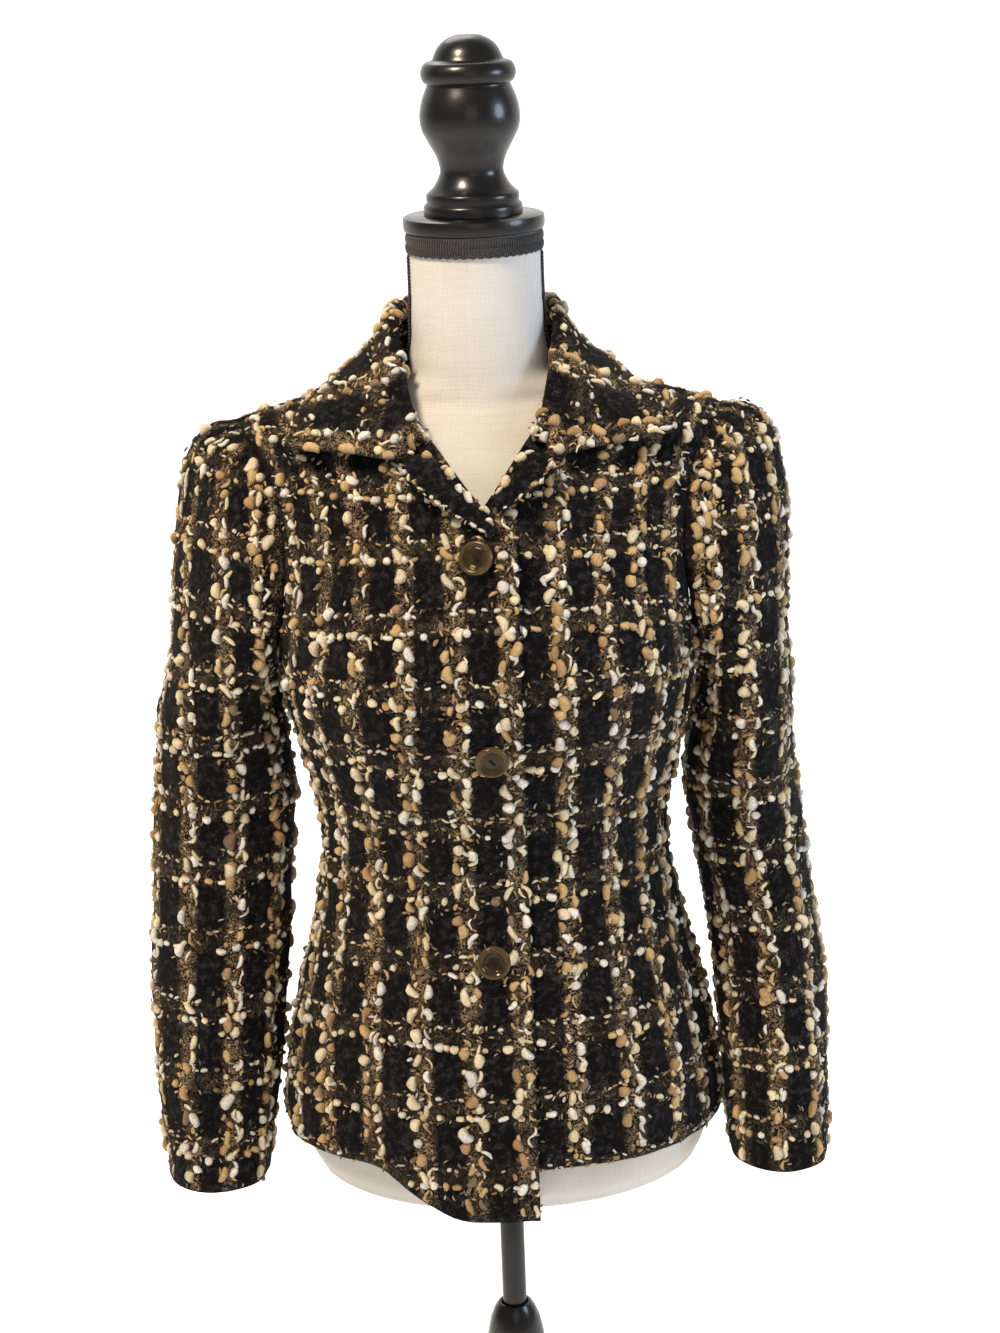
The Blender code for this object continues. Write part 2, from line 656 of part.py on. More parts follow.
def dress_form():
    """The padded torso, closed flat below and at the neck."""
    rings = np.array([form_ring(height) for height in form_heights()])
    rows = len(rings)
    faces = grid_faces(rows, RING_POINTS, around=True)
    faces.append(tuple(reversed(range(RING_POINTS))))
    faces.append(tuple(range((rows - 1) * RING_POINTS, rows * RING_POINTS)))
    return add_object("form_torso", rings.reshape(-1, 3), faces, LINEN)


def neck_braid():
    """A flat braid round the top of the neck."""
    rows = [form_ring(height, SEAM_GAP + BRAID_THICK) for height in np.linspace(BRAID_LOW, BRAID_HIGH, 4)]
    grid = np.array(rows)
    return cloth("form_neck_braid", grid, normals(grid, around=True), BRAID, BRAID_THICK, around=True)


def side_braid(name, side):
    """A narrow braid over the form's side seam, from the neck braid down to the shoulder."""
    angles = side * math.pi / 2 + np.linspace(-SIDE_BRAID_HALF_ANGLE, SIDE_BRAID_HALF_ANGLE, 4)
    heights = [height for height in form_heights() if SIDE_BRAID_LOW < height < BRAID_LOW]
    heights.append(BRAID_LOW - SEAM_GAP)
    rows = [form_ring(height, SEAM_GAP + SIDE_BRAID_THICK, angles) for height in heights]
    grid = np.array(rows)
    return cloth(name, grid, normals(grid), BRAID, SIDE_BRAID_THICK)


def button(name, from_centre, height):
    """A dished button on the right front, facing the way the cloth does there."""
    step = 0.004
    out, up = np.meshgrid(from_centre + np.array([step, 0, -step]), height + np.array([-step, 0, step]))
    low = lower_point(-angle_at(out, up), up)
    high = upper_point(out, np.maximum(rise_at(up, out), 0), -1, False)
    patch = np.where(up[..., None] < UNDERARM_HEIGHT, low, high)
    patch = patch + lift_of_right(out, up)[..., None] * normals(patch)
    outward = normals(patch)[1, 1]
    seat = patch[1, 1] + outward * BUTTON_STAND + HANGS_ASIDE
    profile = (
        (0.0000, 0.0022),
        (0.0062, 0.0022),
        (0.0082, 0.0036),
        (0.0100, 0.0040),
        (0.0114, 0.0032),
        (BUTTON_RADIUS, 0.0018),
        (0.0108, 0.0004),
        (0.0000, 0.0000),
    )
    obj = turned(name, profile, HORN)
    side = np.cross((0, 0, 1), outward)
    side = side / np.linalg.norm(side)
    rows = np.stack([side, np.cross(outward, side), outward, seat], axis=1).tolist()
    obj.matrix_world = Matrix(rows + [[0, 0, 0, 1]])
    return obj


def blazer():
    for name, side in (("right", -1), ("left", 1)):
        front = front_grid(side)
        seams = np.zeros(front.shape[:2], bool)
        seams[-1] = True
        seams[: LOWER_ROWS + 1, 0 if side < 0 else -1] = True
        cloth(f"front_{name}", front, square_at_seams(normals(front), seams))
        sleeve = sleeve_grid(side)
        cloth(f"sleeve_{name}", sleeve, normals(sleeve, around=True), around=True)
        lapel = lapel_grid(side)
        cloth(f"lapel_{name}", lapel, normals(lapel))
    back = back_grid()
    seams = np.zeros(back.shape[:2], bool)
    seams[-1] = np.abs(back[-1, :, 0]) > NECK_OUT
    seams[: LOWER_ROWS + 1, [0, -1]] = True
    cloth("back", back, square_at_seams(normals(back), seams))
    collar = collar_grid()
    cloth("collar", collar, normals(collar))
    for number, (from_centre, height) in enumerate(BUTTON_PLACES, 1):
        button(f"button_{number}", from_centre, height)


def stand():
    dress_form()
    neck_braid()
    side_braid("form_side_braid_right", -1)
    side_braid("form_side_braid_left", 1)
    cap = (
        (0, CAP_HIGH),
        (CAP_RADIUS - CAP_EDGE, CAP_HIGH),
        (CAP_RADIUS - 0.3 * CAP_EDGE, CAP_HIGH - 0.3 * CAP_EDGE),
        (CAP_RADIUS, CAP_HIGH - CAP_EDGE),
        (CAP_RADIUS, CAP_LOW + CAP_EDGE),
        (CAP_RADIUS - 0.3 * CAP_EDGE, CAP_LOW + 0.3 * CAP_EDGE),
        (CAP_RADIUS - CAP_EDGE, CAP_LOW),
        (0, CAP_LOW),
    )
    turned("neck_cap", cap, LACQUER)
    turned("finial", FINIAL_PROFILE, LACQUER)
    pole = ((0, POLE_TOP), (POLE_RADIUS, POLE_TOP), (POLE_RADIUS, POLE_LOW), (0, POLE_LOW))
    turned("pole", pole, LACQUER)
    socket = ((0, SOCKET_FLOOR), (SOCKET_RADIUS, SOCKET_FLOOR), (SOCKET_RADIUS, HUB_PROFILE[0][1] - 0.001))
    turned("hub", socket + HUB_PROFILE, LACQUER)
    base = (
        (0, BASE_HEIGHT),
        (BASE_RADIUS - BASE_EDGE, BASE_HEIGHT),
        (BASE_RADIUS - 0.3 * BASE_EDGE, BASE_HEIGHT - 0.3 * BASE_EDGE),
        (BASE_RADIUS, BASE_HEIGHT - BASE_EDGE),
        (BASE_RADIUS, 0),
        (0, 0),
    )
    turned("base", base, LACQUER)


clear_scene()
blazer()
stand()
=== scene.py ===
"""A buttoned tweed blazer on a limbless dress form with a turned finial, a pole and a round base.

Metres, +Z up. The front faces -Y and +X is the wearer's left. The origin is on the floor under the pole.
"""

import math

import bpy
import numpy as np
from mathutils import Matrix, Vector


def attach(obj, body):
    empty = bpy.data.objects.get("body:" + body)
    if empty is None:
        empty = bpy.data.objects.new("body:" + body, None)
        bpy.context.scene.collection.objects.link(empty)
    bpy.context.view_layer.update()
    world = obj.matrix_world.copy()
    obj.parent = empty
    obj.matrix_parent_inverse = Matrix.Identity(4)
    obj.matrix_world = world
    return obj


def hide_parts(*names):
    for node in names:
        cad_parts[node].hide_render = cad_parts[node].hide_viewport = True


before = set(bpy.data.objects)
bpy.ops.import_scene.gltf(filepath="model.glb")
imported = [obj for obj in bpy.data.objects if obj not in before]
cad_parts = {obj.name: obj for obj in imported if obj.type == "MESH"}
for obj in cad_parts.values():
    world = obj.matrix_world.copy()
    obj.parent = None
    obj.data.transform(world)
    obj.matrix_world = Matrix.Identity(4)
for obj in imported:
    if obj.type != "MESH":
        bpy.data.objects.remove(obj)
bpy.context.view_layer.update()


# Camera: a hand-held view from in front and a little above, tipped down and leaning to one side,
# with the long lens of a telephone camera.
EYE = Vector((0.0066, -2.0, 1.235))
TIP, LEAN = math.radians(15.6), math.radians(2.135)
PICTURE_HEIGHT, FOCAL_PIXELS, SENSOR = 1333, 2920, 36
CLIP_NEAR, CLIP_FAR = 0.05, 60

ahead = Vector((0, math.cos(TIP), -math.sin(TIP)))
level = Vector((1, 0, 0))
right_of_view = level * math.cos(LEAN) - level.cross(ahead) * math.sin(LEAN)
view = Matrix((right_of_view, right_of_view.cross(ahead), -ahead)).transposed().to_4x4()
view.translation = EYE
camera = bpy.data.objects.new("camera", bpy.data.cameras.new("camera"))
camera.data.lens = FOCAL_PIXELS / PICTURE_HEIGHT * SENSOR
camera.data.sensor_width = SENSOR
camera.data.clip_start, camera.data.clip_end = CLIP_NEAR, CLIP_FAR
camera.matrix_world = view
bpy.context.scene.collection.objects.link(camera)
bpy.context.scene.camera = camera


# Stand: a weighted round base, a turned hub that holds the pole, the pole and the finial with its cap.
# All are turned from beech on a lathe and sprayed with satin black lacquer; the grain just shows through.
LACQUER_BLACK, LACQUER_WORN = (0.0036, 0.0034, 0.0034), (0.016, 0.012, 0.009)
LACQUER_FINISH = {"Coat Weight": 0.14, "Coat Roughness": 0.07, "Specular IOR Level": 0.26}
TURN_STEPS, TURNED_EDGE = 84, math.radians(38)
# Each row of a profile is a radius and a height, from the top down the outer side.
FINIAL_PROFILE = (
    (0.0000, 1.1178),
    (0.0090, 1.1168),
    (0.0160, 1.1135),
    (0.0208, 1.1085),
    (0.0238, 1.1020),
    (0.0250, 1.1008),
    (0.0300, 1.0988),
    (0.0324, 1.0930),
    (0.0312, 1.0875),
    (0.0284, 1.0850),
    (0.0288, 1.0835),
    (0.0324, 1.0745),
    (0.0342, 1.0643),
    (0.0330, 1.0550),
    (0.0288, 1.0465),
    (0.0238, 1.0370),
    (0.0216, 1.0283),
    (0.0228, 1.0230),
    (0.0262, 1.0170),
    (0.0297, 1.0135),
    (0.0315, 1.0118),
    (0.0318, 1.0090),
    (0.0315, 1.0062),
    (0.0335, 1.0040),
    (0.0338, 1.0010),
    (0.0338, 0.9979),
)
FINIAL_CREASES = (4, 9, 19, 22, 25)
CAP_PROFILE = (
    (0.0, 0.9975),
    (0.0462, 0.9975),
    (0.0480, 0.9966),
    (0.0485, 0.9950),
    (0.0485, 0.9900),
    (0.0476, 0.9874),
    (0.0462, 0.9866),
    (0.0, 0.9866),
)
POLE_PROFILE = (
    (0.0, 0.3037),
    (0.0085, 0.3037),
    (0.0090, 0.3030),
    (0.0090, 0.1605),
    (0.0085, 0.1600),
    (0.0, 0.1600),
)
HUB_PROFILE = (
    (0.0095, 0.1600),
    (0.0095, 0.1775),
    (0.0105, 0.1786),
    (0.0122, 0.1783),
    (0.0150, 0.1745),
    (0.0185, 0.1660),
    (0.0212, 0.1530),
    (0.0220, 0.1380),
    (0.0205, 0.1150),
    (0.0180, 0.0900),
    (0.0190, 0.0650),
    (0.0250, 0.0450),
    (0.0360, 0.0330),
    (0.0418, 0.0290),
    (0.0420, 0.0283),
    (0.0, 0.0283),
)
BASE_PROFILE = (
    (0.0, 0.0280),
    (0.1500, 0.0280),
    (0.1545, 0.0274),
    (0.1582, 0.0252),
    (0.1600, 0.0215),
    (0.1600, 0.0030),
    (0.1592, 0.0006),
    (0.1570, 0.0),
    (0.0, 0.0),
)


class Wire:
    """A socket in the nodes of a finish. Sums of wires and numbers become Math nodes."""

    def __init__(self, tree, socket=None):
        self.tree = tree
        self.socket = socket

    def node(self, kind, settings, sockets, output=0):
        """Any node: its settings, or the stops of its ramp, are set first, then its sockets."""
        made = self.tree.nodes.new(kind)
        for name, value in settings.items():
            if name == "stops":
                stops = made.color_ramp.elements
                while len(stops) < len(value):
                    stops.new(1.0)
                for stop, (place, colour) in zip(stops, value):
                    stop.position = place
                    stop.color = (*colour, 1)
            else:
                setattr(made, name, value)
        for name, value in sockets.items():
            if isinstance(value, Wire):
                self.tree.links.new(value.socket, made.inputs[name])
            else:
                made.inputs[name].default_value = value
        return Wire(self.tree, made.outputs[output])

    def sum(self, operation, first, second=0.0):
        return self.node("ShaderNodeMath", {"operation": operation}, {0: first, 1: second})

    def __add__(self, other):
        return self.sum("ADD", self, other)

    def __sub__(self, other):
        return self.sum("SUBTRACT", self, other)

    def __rsub__(self, other):
        return self.sum("SUBTRACT", other, self)

    def __mul__(self, other):
        return self.sum("MULTIPLY", self, other)

    def __truediv__(self, other):
        return self.sum("DIVIDE", self, other)

    __radd__ = __add__
    __rmul__ = __mul__

    def between(self, low, high):
        """0 below low and 1 above high, with soft ends."""
        ends = {"Value": self, "From Min": low, "From Max": high}
        return self.node("ShaderNodeMapRange", {"interpolation_type": "SMOOTHSTEP"}, ends)

    def noise(self, at, scale, detail=3.0, roughness=0.55, stretch=(1, 1, 1), distortion=0.0):
        placed = self.node("ShaderNodeVectorMath", {"operation": "MULTIPLY"}, {0: at, 1: stretch})
        sockets = {"Vector": placed, "Scale": scale, "Detail": detail}
        sockets |= {"Roughness": roughness, "Distortion": distortion}
        return self.node("ShaderNodeTexNoise", {}, sockets)

    def attribute(self, name, output):
        return self.node("ShaderNodeAttribute", {"attribute_name": name}, {}, output)

    def mixed(self, share, first, second):
        """From the first colour to the second as the share goes from 0 to 1."""
        ends = [end if isinstance(end, Wire) else (*end, 1) for end in (first, second)]
        return self.node("ShaderNodeMix", {"data_type": "RGBA"}, {0: share, 6: ends[0], 7: ends[1]}, 2)


def new_finish(name, constants):
    """A material with constants on its shader, a wire to build on and the place on the object."""
    made = bpy.data.materials.new(name)
    made.use_nodes = True
    shader = made.node_tree.nodes["Principled BSDF"]
    for socket, value in constants.items():
        shader.inputs[socket].default_value = value
    wire = Wire(made.node_tree)
    return made, shader, wire, wire.node("ShaderNodeTexCoord", {}, {}, "Object")


def feed(shader, colour, roughness, height=None, strength=0.5, distance=0.001):
    """Link what changes over the surface: colour, roughness and the height of a bump."""
    wire = Wire(shader.id_data)
    wire.tree.links.new(colour.socket, shader.inputs["Base Color"])
    wire.tree.links.new(roughness.socket, shader.inputs["Roughness"])
    if height:
        sockets = {"Height": height, "Strength": strength, "Distance": distance}
        raised = wire.node("ShaderNodeBump", {}, sockets)
        wire.tree.links.new(raised.socket, shader.inputs["Normal"])


def new_piece(name, points, faces, finish, node=None, slot=None):
    """A smooth-shaded mesh on the one body. It stands for a solid of the frame where one is named."""
    mesh = bpy.data.meshes.new(name)
    mesh.from_pydata(np.asarray(points, float).tolist(), [], faces)
    mesh.shade_smooth()
    mesh.materials.append(finish)
    made = bpy.data.objects.new(name, mesh)
    bpy.context.scene.collection.objects.link(made)
    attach(made, "root")
    if node:
        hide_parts(node)
    return made


def read_smooth(x, xs, ys):
    """A smooth curve through the points (xs, ys), read at x. Its ends run on straight."""
    xs, ys = np.asarray(xs, float), np.asarray(ys, float)
    slopes = np.gradient(ys, xs)
    x = np.asarray(x, float)
    i = np.clip(np.searchsorted(xs, x) - 1, 0, len(xs) - 2)
    step = xs[i + 1] - xs[i]
    t = np.clip((x - xs[i]) / step, 0, 1)
    inside = (
        ys[i] * (1 + 2 * t) * (1 - t) ** 2
        + slopes[i] * step * t * (1 - t) ** 2
        + ys[i + 1] * t * t * (3 - 2 * t)
        + slopes[i + 1] * step * t * t * (t - 1)
    )
    beyond = slopes[0] * np.minimum(x - xs[0], 0) + slopes[-1] * np.maximum(x - xs[-1], 0)
    return inside + beyond


def grid_faces(rows, columns, around=False):
    faces = []
    for r in range(0, (rows - 1) * columns, columns):
        for c in range(columns if around else columns - 1):
            d = (c + 1) % columns
            faces.append((r + c, r + d, r + columns + d, r + columns + c))
    return faces


def full_turn(steps):
    return np.linspace(0, 2 * math.pi, steps, endpoint=False)


def closed_rings(rings):
    """Points and faces of a stack of rings, closed at both ends."""
    rings = np.asarray(rings)
    count, sides = rings.shape[:2]
    faces = grid_faces(count, sides, around=True)
    faces.append(tuple(range(sides))[::-1])
    faces.append(tuple(range((count - 1) * sides, count * sides)))
    return rings.reshape(-1, 3), faces


def turned(profile, steps):
    """Points and faces of a profile turned round the z axis, given from the bottom up."""
    turn = full_turn(steps)
    rings = [(r * np.cos(turn), r * np.sin(turn), z + 0 * turn) for r, z in profile]
    return closed_rings(np.array(rings).transpose(0, 2, 1))


def lathe(name, profile, finish):
    """Turn a profile that runs down the outer side, and close its ends."""
    points, faces = turned([(r, z) for r, z in profile[::-1] if r > 0], TURN_STEPS)
    made = new_piece(name, points, faces, finish, name.removesuffix("_turned"), "black_lacquer")
    made.data.set_sharp_from_angle(angle=TURNED_EDGE)


def rounded(profile, creases, steps=3):
    """A profile with smooth curves drawn between its creases."""
    points = np.array(profile)
    found = []
    for first, last in zip((0,) + creases, creases):
        run = points[first : last + 1]
        along = np.linspace(0, len(run) - 1, (len(run) - 1) * steps + 1)
        curve = np.stack([read_smooth(along, np.arange(len(run)), run[:, k]) for k in (0, 1)], axis=-1)
        found += curve.tolist()[0 if first == 0 else 1 :]
    return [(max(r, 0.0), z) for r, z in found]


lacquer, shader, wire, place = new_finish("satin_black_lacquer", LACQUER_FINISH)
grain = wire.noise(place, 26, 5, 0.6, (1, 1, 0.16))
pores = wire.noise(place, 900, 2, 0.5, (1, 1, 0.05))
dust = wire.noise(place, 60, 4, 0.7)
colour = wire.mixed(grain.between(0.56, 0.78) * 0.55, LACQUER_BLACK, LACQUER_WORN)
feed(shader, colour, 0.20 + 0.14 * dust + 0.05 * grain, grain * 0.5 + pores * 0.5, 0.10, 0.0008)
lathe("base_turned", BASE_PROFILE, lacquer)
lathe("hub_turned", HUB_PROFILE, lacquer)
lathe("pole_turned", POLE_PROFILE, lacquer)
lathe("neck_cap_turned", CAP_PROFILE, lacquer)
lathe("finial_turned", rounded(FINIAL_PROFILE, FINIAL_CREASES), lacquer)


# Dress form: a padded torso, covered with plain natural linen that is drawn tight
# and closed under its flat bottom. Its neck ends under the cap.
LINEN_PALE, LINEN_WARM, LINEN_THREAD = (0.520, 0.505, 0.475), (0.470, 0.435, 0.375), (0.24, 0.20, 0.15)
LINEN_WAVES = 360
SECTION_COLUMNS = ("height", "half_width", "front_depth", "back_depth", "squareness")
FORM_SECTIONS = (
    (0.3040, 0.118, 0.095, 0.088, 2.1),
    (0.3070, 0.132, 0.107, 0.099, 2.1),
    (0.3160, 0.142, 0.116, 0.108, 2.1),
    (0.3350, 0.1465, 0.120, 0.112, 2.1),
    (0.3700, 0.146, 0.120, 0.112, 2.1),
    (0.4300, 0.142, 0.118, 0.108, 2.1),
    (0.4900, 0.125, 0.107, 0.096, 2.1),
    (0.5650, 0.113, 0.098, 0.082, 2.1),
    (0.6200, 0.122, 0.111, 0.086, 2.1),
    (0.6900, 0.136, 0.127, 0.095, 2.2),
    (0.7600, 0.138, 0.115, 0.100, 2.3),
    (0.8000, 0.140, 0.096, 0.094, 2.3),
    (0.8300, 0.138, 0.079, 0.082, 2.3),
    (0.8520, 0.126, 0.064, 0.068, 1.9),
    (0.8650, 0.112, 0.056, 0.059, 1.65),
    (0.8760, 0.092, 0.0500, 0.053, 1.45),
    (0.8860, 0.059, 0.0475, 0.050, 1.9),
    (0.9050, 0.048, 0.0465, 0.048, 2.0),
    (0.9300, 0.0455, 0.0460, 0.0465, 2.0),
    (0.9862, 0.0447, 0.0450, 0.0450, 2.0),
)
FORM_RING, FORM_SUBSTEPS, FORM_EDGE = 96, 5, math.radians(50)


def read_table(at, table, names, name):
    """A named column of a table, read smoothly along its first column."""
    return read_smooth(at, [row[0] for row in table], [row[names.index(name)] for row in table])


def form_ring(height, angles, grow=0.0):
    """Points of the form's section at a height."""
    half_width, front, back, square = (
        read_table(height, FORM_SECTIONS, SECTION_COLUMNS, name) for name in SECTION_COLUMNS[1:]
    )
    depth = np.where(np.cos(angles) > 0, -(front + grow), back + grow)
    x = (half_width + grow) * np.sign(np.sin(angles)) * np.abs(np.sin(angles)) ** (2 / square)
    return np.stack([x, depth * np.abs(np.cos(angles)) ** (2 / square), height + 0 * x], axis=-1)


linen, shader, wire, place = new_finish("linen_cover", {"Sheen Weight": 0.12, "Sheen Roughness": 0.6})
waves = {"Vector": place, "Scale": LINEN_WAVES}
warp, weft = (wire.node("ShaderNodeTexWave", {"bands_direction": way}, waves) for way in "XZ")
slub_up = wire.noise(place, 420, 3, 0.6, (1, 1, 0.06))
slub_round = wire.noise(place, 420, 3, 0.6, (0.06, 0.06, 1))
tint = wire.noise(place, 7, 3)
threads = slub_up * 0.5 + slub_round * 0.5
woven = wire.sum("MAXIMUM", warp, weft) * 0.4 + threads * 0.6
colour = wire.mixed(tint.between(0.35, 0.7), LINEN_PALE, LINEN_WARM)
colour = wire.mixed((1 - woven).between(0.34, 0.60) * 0.45, colour, LINEN_THREAD)
feed(shader, colour, 0.80 + 0.15 * threads, woven, 0.55, 0.0008)

levels = [row[0] for row in FORM_SECTIONS]
steps = np.linspace(0, len(levels) - 1, (len(levels) - 1) * FORM_SUBSTEPS + 1)
heights = np.interp(steps, range(len(levels)), levels)
points, faces = closed_rings([form_ring(height, full_turn(FORM_RING)) for height in heights])
torso = new_piece("form_cover", points, faces, linen, "form_torso", "linen_cover")
torso.data.set_sharp_from_angle(angle=FORM_EDGE)


# Neck braid: a flat black gimp, two rows of slanting cords that meet in a herringbone, glued round the neck
# under the cap. A narrower strip of the same gimp covers the side seam on each side of the neck.
BRAID_LOW, BRAID_HIGH, BRAID_ROUND, BRAID_SIDES = 0.9735, 0.9855, 0.0009, 5
BRAID_CORDS, BRAID_SLANT, BRAID_STANDS, BRAID_ARCH = 150, 0.020, 0.0014, 0.0006
EDGE_CORD_STANDS, EDGE_CORD_ROUND, EDGE_CORD_POINTS, EDGE_SCALLOP = 0.0015, 0.0007, 181, 0.0005
SIDE_BRAID_LOW, SIDE_BRAID_END, SIDE_BRAID_HALF = 0.9060, 0.9705, math.radians(6.4)
SIDE_BRAID_STEP, SIDE_BRAID_RISE, SIDE_BRAID_STANDS, SIDE_BRAID_ROUND = 0.0024, 0.0016, 0.0013, 0.00105
SIDES = (("right", -1), ("left", 1))
BRAID_BLACK, BRAID_GREY = (0.0050, 0.0050, 0.0060), (0.030, 0.029, 0.032)


def tube(path, radius, sides=6):
    """Points and faces of a closed tube along a path, with a radius for each point."""
    path, radius = np.asarray(path, float), np.broadcast_to(radius, len(path))
    ahead = np.gradient(path, axis=0)
    ahead = ahead / np.maximum(np.linalg.norm(ahead, axis=1, keepdims=True), 1e-9)
    helper = np.where(np.abs(ahead[:, 2:3]) < 0.9, [[0.0, 0.0, 1.0]], [[1.0, 0.0, 0.0]])
    side = np.cross(ahead, helper)
    side = side / np.linalg.norm(side, axis=1, keepdims=True)
    turn = full_turn(sides)[None, :, None]
    ring = np.cos(turn) * side[:, None] + np.sin(turn) * np.cross(ahead, side)[:, None]
    return closed_rings(path[:, None] + radius[:, None, None] * ring)


def joined(parts):
    """One list of points and one of faces from many."""
    points, faces, count = [], [], 0
    for some, those in parts:
        points.append(some)
        faces += [tuple(i + count for i in face) for face in those]
        count += len(some)
    return np.concatenate(points), faces


gimp, shader, wire, place = new_finish("black_gimp", {"Sheen Weight": 0.2, "Sheen Roughness": 0.4})
strands = wire.noise(place, 1600, 2)
colour = wire.mixed(strands.between(0.4, 0.75), BRAID_BLACK, BRAID_GREY)
feed(shader, colour, 0.62 + 0.3 * strands, strands, 0.4, 0.0004)

middle = (BRAID_LOW + BRAID_HIGH) / 2
share = np.linspace(0, 1, 6)
cords = []
for turn in full_turn(BRAID_CORDS):
    for edge in (BRAID_LOW, BRAID_HIGH):
        height = middle + (edge - middle) * share
        out = BRAID_STANDS + BRAID_ARCH * np.sin(math.pi * share)
        path = form_ring(height, turn + BRAID_SLANT * share, out)
        cords.append(tube(path, BRAID_ROUND * (1 - 0.25 * share**3), BRAID_SIDES))
ring = np.linspace(0, 2 * math.pi, EDGE_CORD_POINTS)
for height in (BRAID_LOW, middle, BRAID_HIGH):
    scallop = EDGE_SCALLOP * np.sin(ring * BRAID_CORDS / 3) if height == BRAID_LOW else 0 * ring
    cords.append(tube(form_ring(height + scallop, ring, EDGE_CORD_STANDS), EDGE_CORD_ROUND, BRAID_SIDES))
new_piece("neck_braid_gimp", *joined(cords), gimp, "form_neck_braid", "black_braid")
for name, side in SIDES:
    cords = []
    for height in np.arange(SIDE_BRAID_LOW, SIDE_BRAID_END, SIDE_BRAID_STEP):
        for way in (-1, 1):
            turn = side * math.pi / 2 + way * SIDE_BRAID_HALF * share
            path = form_ring(height + SIDE_BRAID_RISE * share, turn, SIDE_BRAID_STANDS)
            cords.append(tube(path, SIDE_BRAID_ROUND, BRAID_SIDES))
    new_piece(f"side_braid_gimp_{name}", *joined(cords), gimp, f"form_side_braid_{name}", "black_braid")


# Back of the blazer: one panel of boucle tweed, sewn to the fronts at the side and shoulder seams.
# The cloth is black boucle with a check of slub yarns, and hangs over the form from its shoulders.
CLOTH_WALL, SEAM_GAP, LAYER_GAP = 0.0028, 0.0004, 0.0010
HANGS_ASIDE = np.array([-0.0016, 0, 0])
BODY_SECTIONS = (
    (0.300, 0.163, 0.140, 0.132, 2.25),
    (0.345, 0.162, 0.138, 0.130, 2.25),
    (0.420, 0.153, 0.131, 0.122, 2.25),
    (0.490, 0.135, 0.119, 0.107, 2.20),
    (0.565, 0.124, 0.110, 0.093, 2.20),
    (0.620, 0.134, 0.124, 0.098, 2.20),
    (0.690, 0.148, 0.139, 0.107, 2.30),
    (0.760, 0.156, 0.130, 0.113, 2.40),
    (0.830, 0.168, 0.112, 0.111, 2.50),
    (0.900, 0.182, 0.098, 0.104, 2.50),
)
UNDERARM_HEIGHT, HEM_HEIGHT = 0.700, 0.350
BUST_HEIGHT, BUST_ANGLE, BUST_OUT = 0.690, math.radians(34), 0.14
BUST_SIZE, BUST_RISE = 0.055, 0.007
SHOULDER_COLUMNS = ("out", "height", "depth")
SHOULDER_SEAM = (
    (0.000, 0.9060, 0.006),
    (0.040, 0.9000, 0.006),
    (0.066, 0.8925, 0.006),
    (0.100, 0.8815, 0.004),
    (0.140, 0.8705, 0.001),
    (0.172, 0.8630, 0.000),
)
FRONT_ROUNDING, BACK_ROUNDING = 2.2, 3.6
ARMHOLE_COLUMNS = ("rise", "front_out", "back_out")
ARMHOLE = (
    (0.00, 0.1480, 0.1480),
    (0.25, 0.1400, 0.1450),
    (0.50, 0.1380, 0.1450),
    (0.75, 0.1450, 0.1510),
    (1.00, 0.1690, 0.1690),
)
BACK_NECK_HEIGHT, NECK_OUT, NECK_COLUMN_SHARE, CHEST_RISE = 0.8850, 0.0665, 5 / 11, 0.17
# Each row of a fold table is an angle and a height, half the angle and height it spans, and a push.
BODY_FOLDS = (
    (-58, 0.420, 13, 0.090, 0.0035),
    (-33, 0.400, 9, 0.080, -0.0030),
    (40, 0.410, 11, 0.085, 0.0030),
    (66, 0.440, 10, 0.080, -0.0030),
    (-62, 0.600, 16, 0.022, -0.0040),
    (60, 0.592, 16, 0.022, -0.0040),
    (115, 0.560, 18, 0.030, -0.0040),
    (-118, 0.555, 18, 0.030, -0.0040),
    (150, 0.420, 12, 0.090, 0.0040),
    (-148, 0.415, 12, 0.090, 0.0040),
    (180, 0.430, 9, 0.080, -0.0035),
)
BACK_COLUMNS, LOWER_ROWS, UPPER_ROWS = 67, 50, 34
SEAM_DIP, SEAM_DIP_WIDTH = 0.0024, 0.007
# Each row of the creases is a size, a count and how close the waves are.
CREASES = ((0.0008, 6, 90), (0.0004, 10, 190))
ANY_PHASE = (0, 6.28)
# The second ground colour is the lighter tone of the boucle's curly loops: partly the fibres' own colour,
# partly a painted highlight where the loops would catch the light.
GROUND_BLACK, GROUND_LOOP_FIBRE_AND_HIGHLIGHT = (0.0024, 0.0023, 0.0026), (0.105, 0.096, 0.090)
BAND_BROWN, BAND_GOLD = (0.110, 0.072, 0.038), (0.56, 0.400, 0.210)
TWEED_FINISH = {"Sheen Weight": 0.02, "Sheen Roughness": 0.5, "Specular IOR Level": 0.05}
BAND_STEP, BAND_WIDE, BAND_SPLIT = 0.0355, 0.0125, 0.0085
LINE_STEP, LINE_SPLIT, LINE_START, BAND_START = 0.0500, 0.0135, -0.0032, 0.0145
BAND_FADE, LINE_FADE, YARN_STRAY = (BAND_WIDE * 0.75, BAND_WIDE * 0.3), (0.0105, 0.0050), 0.006


def section(height, name):
    return read_table(height, BODY_SECTIONS, SECTION_COLUMNS, name)


def shoulder(out, name):
    return read_table(out, SHOULDER_SEAM, SHOULDER_COLUMNS, name)


def upper_rises():
    """Shares of the way from the underarm to the shoulder seam that the rows of all pieces use."""
    return (1 - np.cos(np.linspace(0, math.pi, UPPER_ROWS))) / 2


def ease(x):
    """0 to 1 with soft ends."""
    t = np.clip(x, 0, 1)
    return t * t * (3 - 2 * t)


def fold(angle, height, row):
    """A soft push out or in, from a row of a fold table."""
    at, up, half_angle, half_height, push = row
    turn = (np.degrees(angle) - at + 180) % 360 - 180
    return push * np.exp(-((turn / half_angle) ** 2) - ((height - up) / half_height) ** 2)


